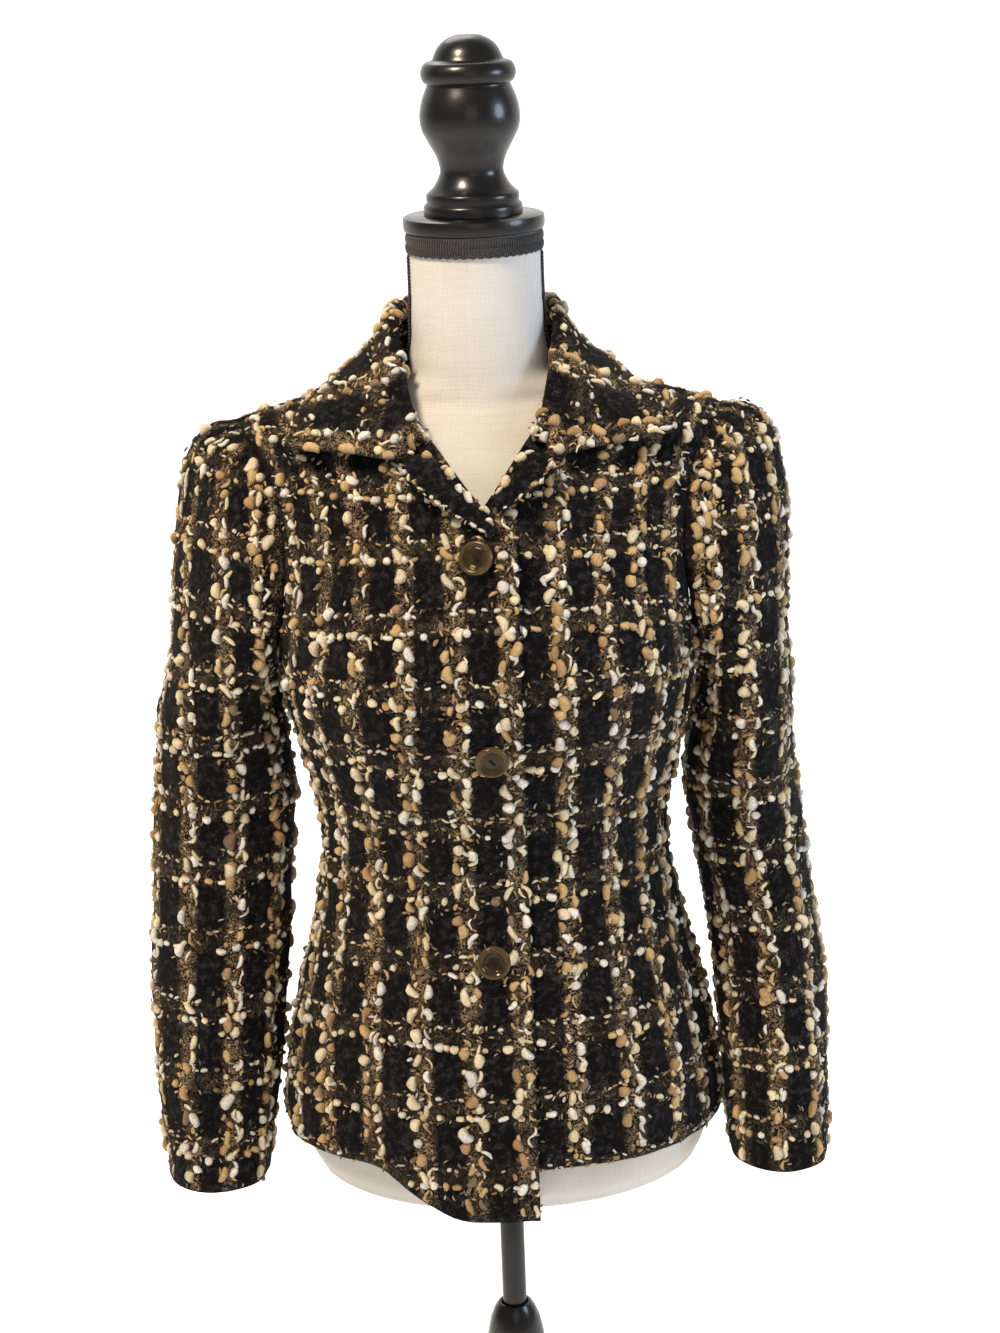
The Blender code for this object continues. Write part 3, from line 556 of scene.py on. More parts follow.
def body_pushes(angle, height):
    """Folds and the fullness over the bust, as distance moved out."""
    pushed = sum(fold(angle, height, row) for row in BODY_FOLDS)
    for at in (BUST_ANGLE, -BUST_ANGLE):
        away = ((angle - at) * BUST_OUT / BUST_SIZE) ** 2 + ((height - BUST_HEIGHT) / BUST_SIZE) ** 2
        pushed = pushed + BUST_RISE * np.exp(-away)
    return pushed


def on_section(angle, height, pushed=0.0):
    """(x, y) on the body's section. Angle 0 is the centre front and +90 degrees the wearer's left."""
    power = 2 / section(height, "squareness")
    depth = np.where(np.cos(angle) > 0, -section(height, "front_depth"), section(height, "back_depth"))
    x = section(height, "half_width") * np.sign(np.sin(angle)) * np.abs(np.sin(angle)) ** power
    y = depth * np.abs(np.cos(angle)) ** power
    grown = 1 + pushed / np.maximum(np.hypot(x, y), 0.01)
    return x * grown, y * grown


def angle_at(out, height):
    """The angle whose point on the section lies that far out. It is negative across the centre."""
    share = np.clip(np.abs(out) / section(height, "half_width"), 0, 1)
    return np.sign(out) * np.arcsin(share ** (section(height, "squareness") / 2))


def lower_point(angle, height):
    x, y = on_section(angle, height, body_pushes(angle, height))
    return np.stack([x, y, height + 0 * x], axis=-1)


def upper_point(out, rise, side, back):
    """A point above the underarm, by its distance out and its share of the way up to the shoulder seam."""
    top, seam_depth = shoulder(np.abs(out), "height"), shoulder(np.abs(out), "depth")
    height = UNDERARM_HEIGHT + rise * (top - UNDERARM_HEIGHT)
    angle = angle_at(out, height)
    if back:
        angle = math.pi - angle
    x, y = on_section(side * angle, height, body_pushes(side * angle, height))
    depth = np.sqrt(np.maximum(1 - rise ** (BACK_ROUNDING if back else FRONT_ROUNDING), 0))
    return np.stack([x, y * depth + seam_depth * (1 - depth), height], axis=-1)


def armhole_out(rise, back):
    return read_table(rise, ARMHOLE, ARMHOLE_COLUMNS, "back_out" if back else "front_out")


def rise_at(height, out):
    return (height - UNDERARM_HEIGHT) / (shoulder(np.abs(out), "height") - UNDERARM_HEIGHT)


def back_neck_height(out):
    """Height of the back neckline between the two shoulder seams."""
    fall = shoulder(NECK_OUT, "height") - BACK_NECK_HEIGHT
    return BACK_NECK_HEIGHT + fall * np.minimum(np.abs(out) / NECK_OUT, 1) ** 4


def normals(grid, around=False):
    """Unit normals of a grid of points. Rows go up, and columns go to the wearer's left in front."""
    across = np.gradient(grid, axis=1)
    if around:
        across = (np.roll(grid, -1, axis=1) - np.roll(grid, 1, axis=1)) / 2
    found = np.cross(across, np.gradient(grid, axis=0))
    return found / np.maximum(np.linalg.norm(found, axis=2, keepdims=True), 1e-12)


def lengths(grid, axis):
    """Distance along the rows or columns of a grid, from its first one."""
    steps = np.linalg.norm(np.diff(grid, axis=axis), axis=2)
    return np.concatenate([np.zeros_like(np.take(steps, [0], axis)), np.cumsum(steps, axis)], axis)


def dipped(grid, seams, around=False):
    """Press the cloth in where it is sewn: seams are the edges as (axis, end)."""
    pressed = np.zeros(grid.shape[:2])
    for axis, end in seams:
        away = lengths(grid, axis)
        if end:
            away = np.take(away, [-1], axis) - away
        pressed = np.maximum(pressed, SEAM_DIP * np.exp(-((away / SEAM_DIP_WIDTH) ** 2)))
    return grid - pressed[..., None] * normals(grid, around)


def creased(grid, seed):
    """The small uneven waves that the cloth takes between its large folds."""
    drawn = np.random.default_rng(seed)
    waves = np.zeros(grid.shape[:2])
    for size, count, closeness in CREASES:
        for _ in range(count):
            way = drawn.normal(size=3) * closeness
            waves += size * np.sin(grid @ way + drawn.uniform(*ANY_PHASE)) / math.sqrt(count)
    return waves


tweed, shader, wire, place = new_finish("boucle_tweed", TWEED_FINISH)
weave = wire.attribute("weave", "Vector")
cells = {"Vector": place, "Scale": 520, "Smoothness": 0.5, "Randomness": 1.0}
loops = wire.node("ShaderNodeTexVoronoi", {"feature": "SMOOTH_F1"}, cells)
curls = wire.noise(place, 420, 4, 0.65, distortion=2.2)
apart = wire.node("ShaderNodeSeparateXYZ", {}, {0: weave}, 0)
across, along = apart, Wire(wire.tree, apart.socket.node.outputs[1])
strayed = wire.noise(place, 160, 3) * YARN_STRAY - YARN_STRAY / 2
in_band = wire.sum("PINGPONG", across + strayed, BAND_STEP / 2).between(*BAND_FADE)
in_line = wire.sum("PINGPONG", along + strayed, LINE_STEP / 2).between(*LINE_FADE)
flecks = curls.between(0.50, 0.57)
fleck_tone = wire.noise(place, 75, 3).between(0.38, 0.68)
ridges = wire.sum("ABSOLUTE", curls - 0.5).between(0.040, 0.006)
clumps = wire.noise(place, 210, 3).between(0.45, 0.70)
# The curls and thin ridges are the loops of the black ground. They are lightened by their fibre tone and by a
# painted highlight.
loops_and_highlights = clumps * (ridges * 0.56 + curls.between(0.58, 0.70) * 0.56)
loop_tone_and_highlight = wire.mixed(loops_and_highlights, GROUND_BLACK, GROUND_LOOP_FIBRE_AND_HIGHLIGHT)
band_tone = wire.mixed(fleck_tone, BAND_BROWN, BAND_GOLD)
share = flecks * wire.sum("MAXIMUM", in_band * 0.62, in_line * 0.15)
colour = wire.mixed(share, loop_tone_and_highlight, band_tone)
feed(shader, colour, 0.82 + 0.15 * curls, curls * 0.7 + loops * 0.5, 0.9, 0.0022)


def woven_piece(name, grid, warp, weft, seed, around=False, seams=(), outward=None, sewn_to=None):
    """A closed wall of tweed. Warp and weft are distances along the cloth, which place the check."""
    grid = grid + HANGS_ASIDE
    outward = normals(grid, around) if outward is None else outward
    grid = dipped(grid + creased(grid, seed)[..., None] * outward, seams, around)
    if sewn_to is not None:
        grid[-1] = sewn_to
    rows, columns = grid.shape[:2]
    count = rows * columns
    points = np.concatenate([grid.reshape(-1, 3), (grid - CLOTH_WALL * outward).reshape(-1, 3)])
    faces = grid_faces(rows, columns, around)
    faces += [tuple(i + count for i in face[::-1]) for face in faces]
    low = [(c, (c + 1) % columns) for c in range(columns if around else columns - 1)]
    top = count - columns
    edges = [(b, a) for a, b in low] + [(a + top, b + top) for a, b in low]
    if not around:
        for r in range(0, top, columns):
            edges += [(r, r + columns), (r + 2 * columns - 1, r + columns - 1)]
    faces += [(a, b, b + count, a + count) for a, b in edges]
    made = new_piece(f"{name}_tweed", points, faces, tweed, name, "tweed")
    kept = made.data.attributes.new("weave", "FLOAT_VECTOR", "POINT")
    placed = np.stack([warp, weft, 0 * warp], axis=-1).reshape(-1, 3)
    kept.data.foreach_set("vector", np.concatenate([placed, placed]).astype(np.float32).ravel())
    cloths[name] = (grid, normals(grid, around), warp, weft, around)
    return made


def cut_area(grid, around=False):
    """Area of a grid of points, as the flat area of a cut that hardly stretches."""
    if around:
        grid = np.concatenate([grid, grid[:, :1]], axis=1)
    a, b, c, d = grid[:-1, :-1], grid[:-1, 1:], grid[1:, 1:], grid[1:, :-1]
    halves = np.linalg.norm(np.cross(b - a, c - a), axis=2) + np.linalg.norm(np.cross(c - a, d - a), axis=2)
    return float(halves.sum() / 2)


def square_at_seams(outward, seams):
    """Turn the wall square to the seams, so that the front and the back meet without crossing."""
    outward[seams, 1] = 0
    return outward / np.linalg.norm(outward, axis=2, keepdims=True)


def body_weft(grid):
    """Height along the cloth: straight up to the underarm, then along the cloth to the shoulder."""
    up = lengths(grid, 0)
    over_chest = UNDERARM_HEIGHT + up - up[LOWER_ROWS : LOWER_ROWS + 1]
    return np.where(np.arange(len(grid))[:, None] < LOWER_ROWS, grid[..., 2], over_chest)


def body_warp(grid, centre):
    """Distance round the body from the centre line: half of it drawn in at the waist with the cut."""
    round_body = lengths(grid, 1) - lengths(grid, 1)[:, centre, None]
    return (round_body + round_body[LOWER_ROWS : LOWER_ROWS + 1]) / 2


WOOLS = (
    (0.86, 0.805, 0.70),
    (0.84, 0.710, 0.46),
    (0.62, 0.405, 0.165),
    (0.47, 0.275, 0.110),
    (0.230, 0.150, 0.080),
    (0.070, 0.045, 0.026),
)
# Each row is a radius, half length, pitch, wander, bend, turn in degrees, rings, sides and the wools' shares.
NUBS = {
    "big_nub": (0.0034, 0.0050, 0.0165, 0.0013, 0.40, 25, 5, 6, (0.12, 0.36, 0.30, 0.20, 0.02, 0.00)),
    "small_nub": (0.0017, 0.0029, 0.0120, 0.0026, 0.35, 40, 3, 5, (0.08, 0.26, 0.28, 0.18, 0.20, 0.00)),
    "white_nub": (0.0028, 0.0044, 0.0180, 0.0012, 0.45, 25, 5, 6, (0.48, 0.40, 0.10, 0.01, 0.01, 0.00)),
    "white_curl": (0.0014, 0.0042, 0.0120, 0.0014, 0.60, 35, 4, 5, (0.42, 0.38, 0.14, 0.02, 0.04, 0.00)),
    "dash": (0.0013, 0.0025, 0.0085, 0.0009, 0.20, 20, 3, 4, (0.40, 0.34, 0.16, 0.04, 0.06, 0.00)),
    "bead": (0.0025, 0.0031, 0.0115, 0.0009, 0.20, 20, 4, 6, (0.34, 0.40, 0.16, 0.08, 0.02, 0.00)),
    "fleck": (0.0009, 0.0021, 0.0033, 0.0040, 0.40, 70, 2, 3, (0.02, 0.10, 0.22, 0.14, 0.36, 0.16)),
}
NUB_GAPS, NUB_WANDER_MOST, NUB_TURN_MOST, NUB_LOOK_AHEAD = (0.06, 0.16), 0.008, 1.6, 0.004
NUB_STEPS, NUB_SPARE, NUB_SHOWN, NUB_SHOWN_SWING = (0.45, 1.55), 1.3, 0.86, 0.30
NUB_SIZES, NUB_BENDS, NUB_LUMPS, NUB_DYES = (0.65, 1.35), (0.2, 1.1), (0.86, 1.14), (0.80, 1.10)
NUB_HOOK, NUB_RISE, NUB_SINK, NUB_TAPER = 0.35, 0.50, 0.30, 0.8
# NUB_EDGE_SHADE and NUB_END_SHADE are painted shade in each nub's dye: its sides and its two ends are
# darkened as if in shadow.
NUB_FLATTENED, NUB_EDGE_SHADE, NUB_END_SHADE = 0.86, 0.40, 0.55
WARP_BAND = (
    ("big_nub", -0.5),
    ("small_nub", -0.5),
    ("white_curl", 0.5),
    ("white_nub", 0.5),
    ("fleck", -0.25),
    ("fleck", 0.30),
)
WEFT_LINES = (("dash", 0.5), ("bead", -0.5), ("fleck", 0.5), ("fleck", -0.5))
WOOL_FINISH = {"Sheen Weight": 0.15, "Sheen Roughness": 0.5, "Specular IOR Level": 0.2}

wool, shader, wire, place = new_finish("slub_wool", WOOL_FINISH)
# The dye attribute holds each nub's wool colour together with painted shade at its sides and ends.
dyed_with_painted_shade = wire.attribute("dye", "Color")
fibres = wire.noise(place, 900, 4, 0.7, distortion=1.8)
multiplied = {"data_type": "RGBA", "blend_type": "MULTIPLY"}
shaded = wire.node("ShaderNodeMix", multiplied, {0: 1.0, 6: dyed_with_painted_shade, 7: fibres}, 2)
colour = wire.mixed(fibres.between(0.36, 0.60), shaded, dyed_with_painted_shade)
feed(shader, colour, 0.80 + 0.18 * fibres, fibres, 0.8, 0.0012)


def traced(name, value, warp_line):
    """Runs of (points, normals, room, reach) along a line of the cloth where its warp or weft has a value.

    The room is 1 where the cloth lies flat and less where it is eased in. The reach is the way to the edge.
    """
    grid, outward, warp, weft, around = cloths[name]
    if around:
        grid, outward, weft = (np.concatenate([a, a[:, :1]], axis=1) for a in (grid, outward, weft))
        girth = np.linalg.norm(grid[:, -1] - grid[:, -2], axis=1)[:, None]
        warp = np.concatenate([warp, warp[:, -1:] + girth], axis=1)
    places = warp if warp_line else weft.T
    numbers = np.arange(places.shape[1])
    crossed = np.array([np.interp(value, line, numbers, np.nan, np.nan) for line in places])
    first = np.floor(np.nan_to_num(crossed)).astype(int).clip(0, len(numbers) - 2)
    part = (np.nan_to_num(crossed) - first)[:, None]
    every = np.arange(len(places))
    found = []
    for a in (outward, grid):
        a = a if warp_line else a.transpose(1, 0, 2)
        found.append(a[every, first] * (1 - part) + a[every, first + 1] * part)
    gap = np.linalg.norm(a[every, first + 1] - a[every, first], axis=1)
    room = gap / np.maximum(places[every, first + 1] - places[every, first], 1e-6)
    reach = np.minimum(value - places.min(axis=1), places.max(axis=1) - value).clip(0, NUB_WANDER_MOST)
    inside = np.flatnonzero(~np.isnan(crossed))
    runs = np.split(inside, np.flatnonzero(np.diff(inside) > 1) + 1)
    return [(found[1][run], found[0][run], room[run], reach[run]) for run in runs if len(run) > 3]


def spread_nubs(path, outward, room, reach, kind, drawn):
    """Places, directions and outward normals of the nubs of one yarn along a path on the cloth."""
    half, pitch, wander, _, turn = NUBS[kind][1:6]
    gone = np.concatenate([[0], np.cumsum(np.linalg.norm(np.diff(path, axis=0), axis=1))])
    steps = pitch * drawn.uniform(*NUB_STEPS, int(gone[-1] / pitch * NUB_SPARE) + 3)
    at = np.cumsum(steps) - drawn.uniform(0, pitch)
    at = at[(at > half) & (at < gone[-1] - half)]
    waves = at * 2 * math.pi / drawn.uniform(*NUB_GAPS) + drawn.uniform(*ANY_PHASE)
    shown = NUB_SHOWN + NUB_SHOWN_SWING * np.sin(waves)
    at = at[drawn.uniform(size=len(at)) < shown * np.interp(at, gone, room).clip(0, 1)]
    spot, up, before, after = (
        np.stack([np.interp(at + shift, gone, way[:, k]) for k in range(3)], axis=-1)
        for way, shift in ((path, 0), (outward, 0), (path, -NUB_LOOK_AHEAD), (path, NUB_LOOK_AHEAD))
    )
    ahead = after - before
    ahead = ahead / np.maximum(np.linalg.norm(ahead, axis=1, keepdims=True), 1e-9)
    side = np.cross(up, ahead)
    swung = np.radians(turn) * drawn.normal(size=(len(at), 1)).clip(-NUB_TURN_MOST, NUB_TURN_MOST)
    most = np.interp(at, gone, reach)[:, None]
    spot = spot + side * (wander * drawn.normal(size=(len(at), 1))).clip(-most, most)
    return spot, ahead * np.cos(swung) + side * np.sin(swung), up


def nub_meshes(spots, kind, drawn):
    """Points, faces and dyes of many curved, tapered nubs of wool. The dyes carry painted shade: each nub is
    darker at its sides and ends.
    """
    radius, half, _, _, bend, _, rings, sides, wools = NUBS[kind]
    spot, ahead, up = (np.concatenate(parts) for parts in zip(*spots))
    count = len(spot)
    radius = radius * drawn.uniform(*NUB_SIZES, count)
    half = half * drawn.uniform(*NUB_SIZES, count)
    curve = bend * half * drawn.uniform(*NUB_BENDS, count) * drawn.choice((-1, 1), count)
    hook = NUB_HOOK * curve * drawn.normal(size=count)
    side = np.cross(up, ahead)
    t = np.cos(np.linspace(math.pi, 0, rings + 2))
    tall = 1 - t * t
    centre = spot[:, None] + ahead[:, None] * (half[:, None] * t)[..., None]
    centre = centre + side[:, None] * (curve[:, None] * tall + hook[:, None] * t * tall * 2)[..., None]
    centre = centre + up[:, None] * (radius[:, None] * (NUB_RISE * np.sqrt(tall) - NUB_SINK))[..., None]
    turn = full_turn(sides)
    lumps = drawn.uniform(*NUB_LUMPS, (count, rings, 1, 1))
    ring = np.cos(turn)[:, None] * side[:, None, None]
    ring = ring + NUB_FLATTENED * np.sin(turn)[:, None] * up[:, None, None]
    thick = (radius[:, None] * np.sqrt(tall[1:-1]) ** NUB_TAPER)[..., None, None] * lumps
    body = centre[:, 1:-1, None] + thick * ring
    points = np.concatenate([centre[:, :1], body.reshape(count, -1, 3), centre[:, -1:]], axis=1)
    each = rings * sides + 2
    faces = [(0, 1 + (k + 1) % sides, 1 + k) for k in range(sides)]
    faces += [tuple(1 + i for i in face) for face in grid_faces(rings, sides, around=True)]
    last = 1 + (rings - 1) * sides
    faces += [(each - 1, last + k, last + (k + 1) % sides) for k in range(sides)]
    starts = each * np.arange(count)
    every = [tuple(i + start for i in face) for start in starts.tolist() for face in faces]
    picked = np.array(WOOLS)[drawn.choice(len(WOOLS), count, p=wools)]
    picked = picked * drawn.uniform(*NUB_DYES, (count, 1))
    # Painted shade: each nub's dye is darkened towards its sides and at its ends, where less light would
    # fall.
    shade = np.full((count, each), NUB_END_SHADE)
    shade[:, 1:-1] = np.tile(NUB_EDGE_SHADE + (1 - NUB_EDGE_SHADE) * np.sin(turn).clip(0, 1), rings)
    return points.reshape(-1, 3), every, (picked[:, None] * shade[..., None]).reshape(-1, 3)


def slub_piece(name, lines, seed):
    """The slubs of one cloth piece, joined. A line is a distance, whether it is warp, and a kind of nub."""
    drawn = np.random.default_rng(seed)
    spots = {kind: [] for kind in NUBS}
    for value, warp_line, kind in lines:
        for run in traced(name, value, warp_line):
            spots[kind].append(spread_nubs(*run, kind, drawn))
    spots = {kind: found for kind, found in spots.items() if any(len(part[0]) for part in found)}
    made = [nub_meshes(found, kind, drawn) for kind, found in spots.items()]
    piece = new_piece(f"{name}_slubs", *joined([part[:2] for part in made]), wool, None, "tweed")
    # This colour attribute carries the wool dyes with the painted shade made in nub_meshes.
    dye = piece.data.color_attributes.new("dye", "FLOAT_COLOR", "POINT")
    colours = np.concatenate([part[2] for part in made])
    colours = np.concatenate([colours, np.ones((len(colours), 1))], axis=1)
    dye.data.foreach_set("color", colours.astype(np.float32).ravel())
    return piece


def check_lines(name):
    warp, weft = cloths[name][2:4]
    lines = []
    for k in range(math.floor(warp.min() / BAND_STEP), math.ceil(warp.max() / BAND_STEP) + 1):
        lines += [(k * BAND_STEP + offset * BAND_SPLIT, True, kind) for kind, offset in WARP_BAND]
    for k in range(math.floor(weft.min() / LINE_STEP), math.ceil(weft.max() / LINE_STEP) + 1):
        lines += [(k * LINE_STEP + offset * LINE_SPLIT, False, kind) for kind, offset in WEFT_LINES]
    return lines


cloths = {}
rows = []
for v in np.linspace(0, 1, LOWER_ROWS, endpoint=False):
    turn = np.linspace(math.pi / 2, 3 * math.pi / 2, BACK_COLUMNS)
    rows.append(lower_point(turn, np.full_like(turn, HEM_HEIGHT + v * (UNDERARM_HEIGHT - HEM_HEIGHT))))
step = np.linspace(1, -1, BACK_COLUMNS)
for rise in upper_rises():
    outer = float(armhole_out(rise, True))
    half_width = section(UNDERARM_HEIGHT + rise * CHEST_RISE, "half_width")
    round_back = half_width * np.sin(np.arcsin(outer / half_width) * step)
    to_neck = np.interp(np.abs(step), (0, NECK_COLUMN_SHARE, 1), (0, NECK_OUT, outer)) * np.sign(step)
    out = round_back + (to_neck - round_back) * rise**2
    neck_share = rise_at(back_neck_height(out), out)
    share = rise * np.where(np.abs(step) < NECK_COLUMN_SHARE - 0.001, neck_share, 1)
    rows.append(np.array([upper_point(abs(o), s, math.copysign(1, o), True) for o, s in zip(out, share)]))
back = np.array(rows)
back[..., 1] += SEAM_GAP / 2
sewn = np.zeros(back.shape[:2], bool)
sewn[-1] = np.abs(back[-1, :, 0]) > NECK_OUT
sewn[: LOWER_ROWS + 1, [0, -1]] = True
back_cloth = woven_piece(
    "back",
    back,
    body_warp(back, BACK_COLUMNS // 2),
    body_weft(back) - LINE_START,
    seed=11,
    outward=square_at_seams(normals(back), sewn),
    seams=((1, 0), (1, 1), (0, 1)),
)
slubs = slub_piece("back", check_lines("back"), 12)
cut_area(back)


# Fronts: two panels, the wearer's right one over the left at the centre, cut on to the neckline.
# The right one hangs lower towards the centre, and its edge rolls out where the lapel turns back.
FRONT_COLUMNS = 45
# Each row of the neckline is a height and a distance out.
FRONT_NECKLINE = (
    (0.7920, -0.0170),
    (0.8040, -0.0075),
    (0.8280, 0.0120),
    (0.8450, 0.0250),
    (0.8600, 0.0375),
    (0.8700, 0.0465),
    (0.8840, 0.0585),
    (0.8925, 0.0665),
)
BREAK_HEIGHT, BREAK_TURN, BREAK_EDGE_STEPS = 0.776, 0.012, 4
DRAWN_IN_START, DRAWN_IN_WIDTH = 0.03, 0.10
RIGHT_OVERLAP, LEFT_OVERLAP, OVERLAP_FADE = 0.022, 0.024, 0.040
BREAK_ROLL, BREAK_ROLL_HALF_HEIGHT, BREAK_ROLL_WIDTH = 0.0100, 0.024, 0.040
RIGHT_HEM_DIP, RIGHT_HEM_DIP_START, RIGHT_HEM_DIP_END, HEM_DIP_REACH = 0.036, 0.105, 0.025, 0.40


def front_neck_out(height, overlap):
    """Where the front's inner edge lies: over the centre below the break, then out to the neck."""
    neckline = read_smooth(height, *zip(*FRONT_NECKLINE))
    turned = ease((height - BREAK_HEIGHT) / (FRONT_NECKLINE[0][0] + BREAK_TURN - BREAK_HEIGHT))
    return np.where(height > FRONT_NECKLINE[-1][0], NECK_OUT, -overlap * (1 - turned) + neckline * turned)


def hem_dip(out, side):
    """The right front hangs lower towards the centre."""
    if side > 0:
        return 0 * out
    return RIGHT_HEM_DIP * ease((RIGHT_HEM_DIP_START - out) / (RIGHT_HEM_DIP_START - RIGHT_HEM_DIP_END))


def lift_of_right(out, height):
    """How far the right front stands off: it lies over the left one, and its edge rolls out at the break."""
    over = (CLOTH_WALL + LAYER_GAP) * ease((LEFT_OVERLAP + OVERLAP_FADE - out) / OVERLAP_FADE)
    near_break = np.exp(-(((height - BREAK_HEIGHT - BREAK_TURN) / BREAK_ROLL_HALF_HEIGHT) ** 2))
    return over + BREAK_ROLL * near_break * ease((BREAK_ROLL_WIDTH - RIGHT_OVERLAP - out) / BREAK_ROLL_WIDTH)


def front_grid(side):
    """Outer points of one front: rows from hem to shoulder seam, columns from the centre edge to the side."""
    overlap = LEFT_OVERLAP if side > 0 else RIGHT_OVERLAP
    shares = np.linspace(0, 1, FRONT_COLUMNS)
    rows = []
    for v in np.linspace(0, 1, LOWER_ROWS, endpoint=False):
        level = HEM_HEIGHT + v * (UNDERARM_HEIGHT - HEM_HEIGHT)
        inner = angle_at(-overlap, level)
        turn = inner + (math.pi / 2 - inner) * shares
        out = on_section(turn, np.full_like(turn, HEM_HEIGHT))[0]
        height = level - hem_dip(out, side) * np.maximum(1 - v / HEM_DIP_REACH, 0) ** 2
        rows.append(lower_point(side * turn, height))
    for rise in upper_rises():
        edge = 0.0
        for _ in range(BREAK_EDGE_STEPS):
            height = UNDERARM_HEIGHT + rise * (shoulder(abs(edge), "height") - UNDERARM_HEIGHT)
            edge = float(front_neck_out(height, overlap))
        half_width = section(UNDERARM_HEIGHT + rise * CHEST_RISE, "half_width")
        inner, outer = np.arcsin(edge / half_width), np.arcsin(armhole_out(rise, False) / half_width)
        out = half_width * np.sin(inner + (outer - inner) * shares)
        rows.append(upper_point(out, np.full_like(out, rise), side, False))
    grid = np.array(rows)
    if side < 0:
        grid = grid[:, ::-1]
        grid = grid + lift_of_right(-grid[..., :1], grid[..., 2:]) * normals(grid)
    grid[..., 1] -= SEAM_GAP / 2
    return grid


for name, side in SIDES:
    front = front_grid(side)
    sewn = np.zeros(front.shape[:2], bool)
    sewn[-1] = True
    sewn[: LOWER_ROWS + 1, 0 if side < 0 else -1] = True
    round_body = lengths(front, 1)
    centre_edge = -1 if side < 0 else 0
    from_centre = round_body - round_body[:, centre_edge, None] + front[:, centre_edge, None, 0]
    drawn_in = from_centre[LOWER_ROWS : LOWER_ROWS + 1]
    toward_side = ease((np.abs(from_centre) - DRAWN_IN_START) / DRAWN_IN_WIDTH)
    warp = from_centre + 0.5 * toward_side * (drawn_in - from_centre)
    cloth = woven_piece(
        f"front_{name}",
        front,
        warp - BAND_START,
        body_weft(front) - LINE_START,
        seed=21 + side,
        outward=square_at_seams(normals(front), sewn),
        seams=((1, 0 if side < 0 else 1), (0, 1)),
    )
    slubs = slub_piece(f"front_{name}", check_lines(f"front_{name}"), 22 + side)
    cut_area(front)


# Sleeves: set into the armholes with a soft, full cap, and bent a little forward at the elbow.
# They hang empty and keep a few soft folds.
SLEEVE_COLUMNS = ("height", "centre_out", "half_width", "centre_depth", "half_depth")
RIGHT_SLEEVE = (
    (0.655, 0.1925, 0.0450, 0.004, 0.064),
    (0.600, 0.1930, 0.0500, 0.008, 0.058),
    (0.540, 0.1975, 0.0505, 0.006, 0.053),
    (0.470, 0.2033, 0.0492, -0.006, 0.049),
    (0.400, 0.2065, 0.0460, -0.024, 0.046),
    (0.345, 0.2080, 0.0400, -0.038, 0.043),
    (0.318, 0.2090, 0.0362, -0.045, 0.042),
)
LEFT_SLEEVE = (
    (0.655, 0.1830, 0.0335, 0.004, 0.070),
    (0.600, 0.1785, 0.0395, 0.008, 0.066),
    (0.540, 0.1840, 0.0397, 0.006, 0.060),
    (0.470, 0.1940, 0.0390, -0.006, 0.054),
    (0.400, 0.1972, 0.0393, -0.024, 0.050),
    (0.345, 0.1982, 0.0367, -0.038, 0.046),
    (0.3185, 0.1988, 0.0352, -0.045, 0.044),
)
# Each cap is how far it reaches out, how far it lifts, its spread over the arm and its fullness.
RIGHT_CAP, LEFT_CAP = (0.182, 0.024, 0.085, 0.050), (0.212, 0.024, 0.035, 0.050)
SLEEVE_FOLDS = (
    (60, 0.585, 34, 0.013, -0.0040),
    (95, 0.545, 40, 0.014, -0.0045),
    (70, 0.505, 36, 0.013, -0.0035),
    (200, 0.640, 40, 0.016, -0.0035),
    (120, 0.430, 40, 0.018, -0.0030),
)
CAP_ROWS, ARM_ROWS, CAP_KEPT = 26, 58, 0.3 * math.pi


def armhole_edge(side):
    """The edge of the armhole: up the front from the underarm, and down the back."""
    front_edge = cloths["front_left" if side > 0 else "front_right"][0][LOWER_ROWS:, -1 if side > 0 else 0]
    back_edge = cloths["back"][0][LOWER_ROWS:, 0 if side > 0 else -1]
    return np.concatenate([front_edge, back_edge[-2:0:-1]]) - HANGS_ASIDE + (side * SEAM_GAP, 0, 0)


def sleeve_warp(sleeve, side):
    """Distance round the sleeve. Over the cap the bands go on straight up until they meet the armhole."""
    grid = sleeve if side > 0 else sleeve[:, ::-1]
    turn = full_turn(grid.shape[1])
    girth = np.linalg.norm(np.diff(grid[ARM_ROWS // 2], axis=0, append=grid[ARM_ROWS // 2, :1]), axis=1)
    by_column = np.cumsum(girth) - girth
    found = np.broadcast_to(by_column, grid.shape[:2]).copy()
    out = np.abs(grid[..., 0])
    ring = out[ARM_ROWS - 1]
    half = grid.shape[1] // 2
    for row in range(ARM_ROWS, len(grid)):
        inside = np.maximum(ring[0] - out[row], 0)
        front = np.interp(out[row], ring[: half + 1], by_column[: half + 1]) - inside
        behind = np.interp(out[row], ring[:half:-1], by_column[:half:-1]) + inside
        front = np.minimum.accumulate(front[half::-1])[::-1]
        behind = np.maximum.accumulate(behind[half + 1 :])
        straight = np.concatenate([front, behind])
        kept = ease(1 - np.abs(turn - math.pi) / CAP_KEPT)
        found[row] = straight + (by_column - straight) * kept
    return found if side > 0 else (girth.sum() - found)[:, ::-1]


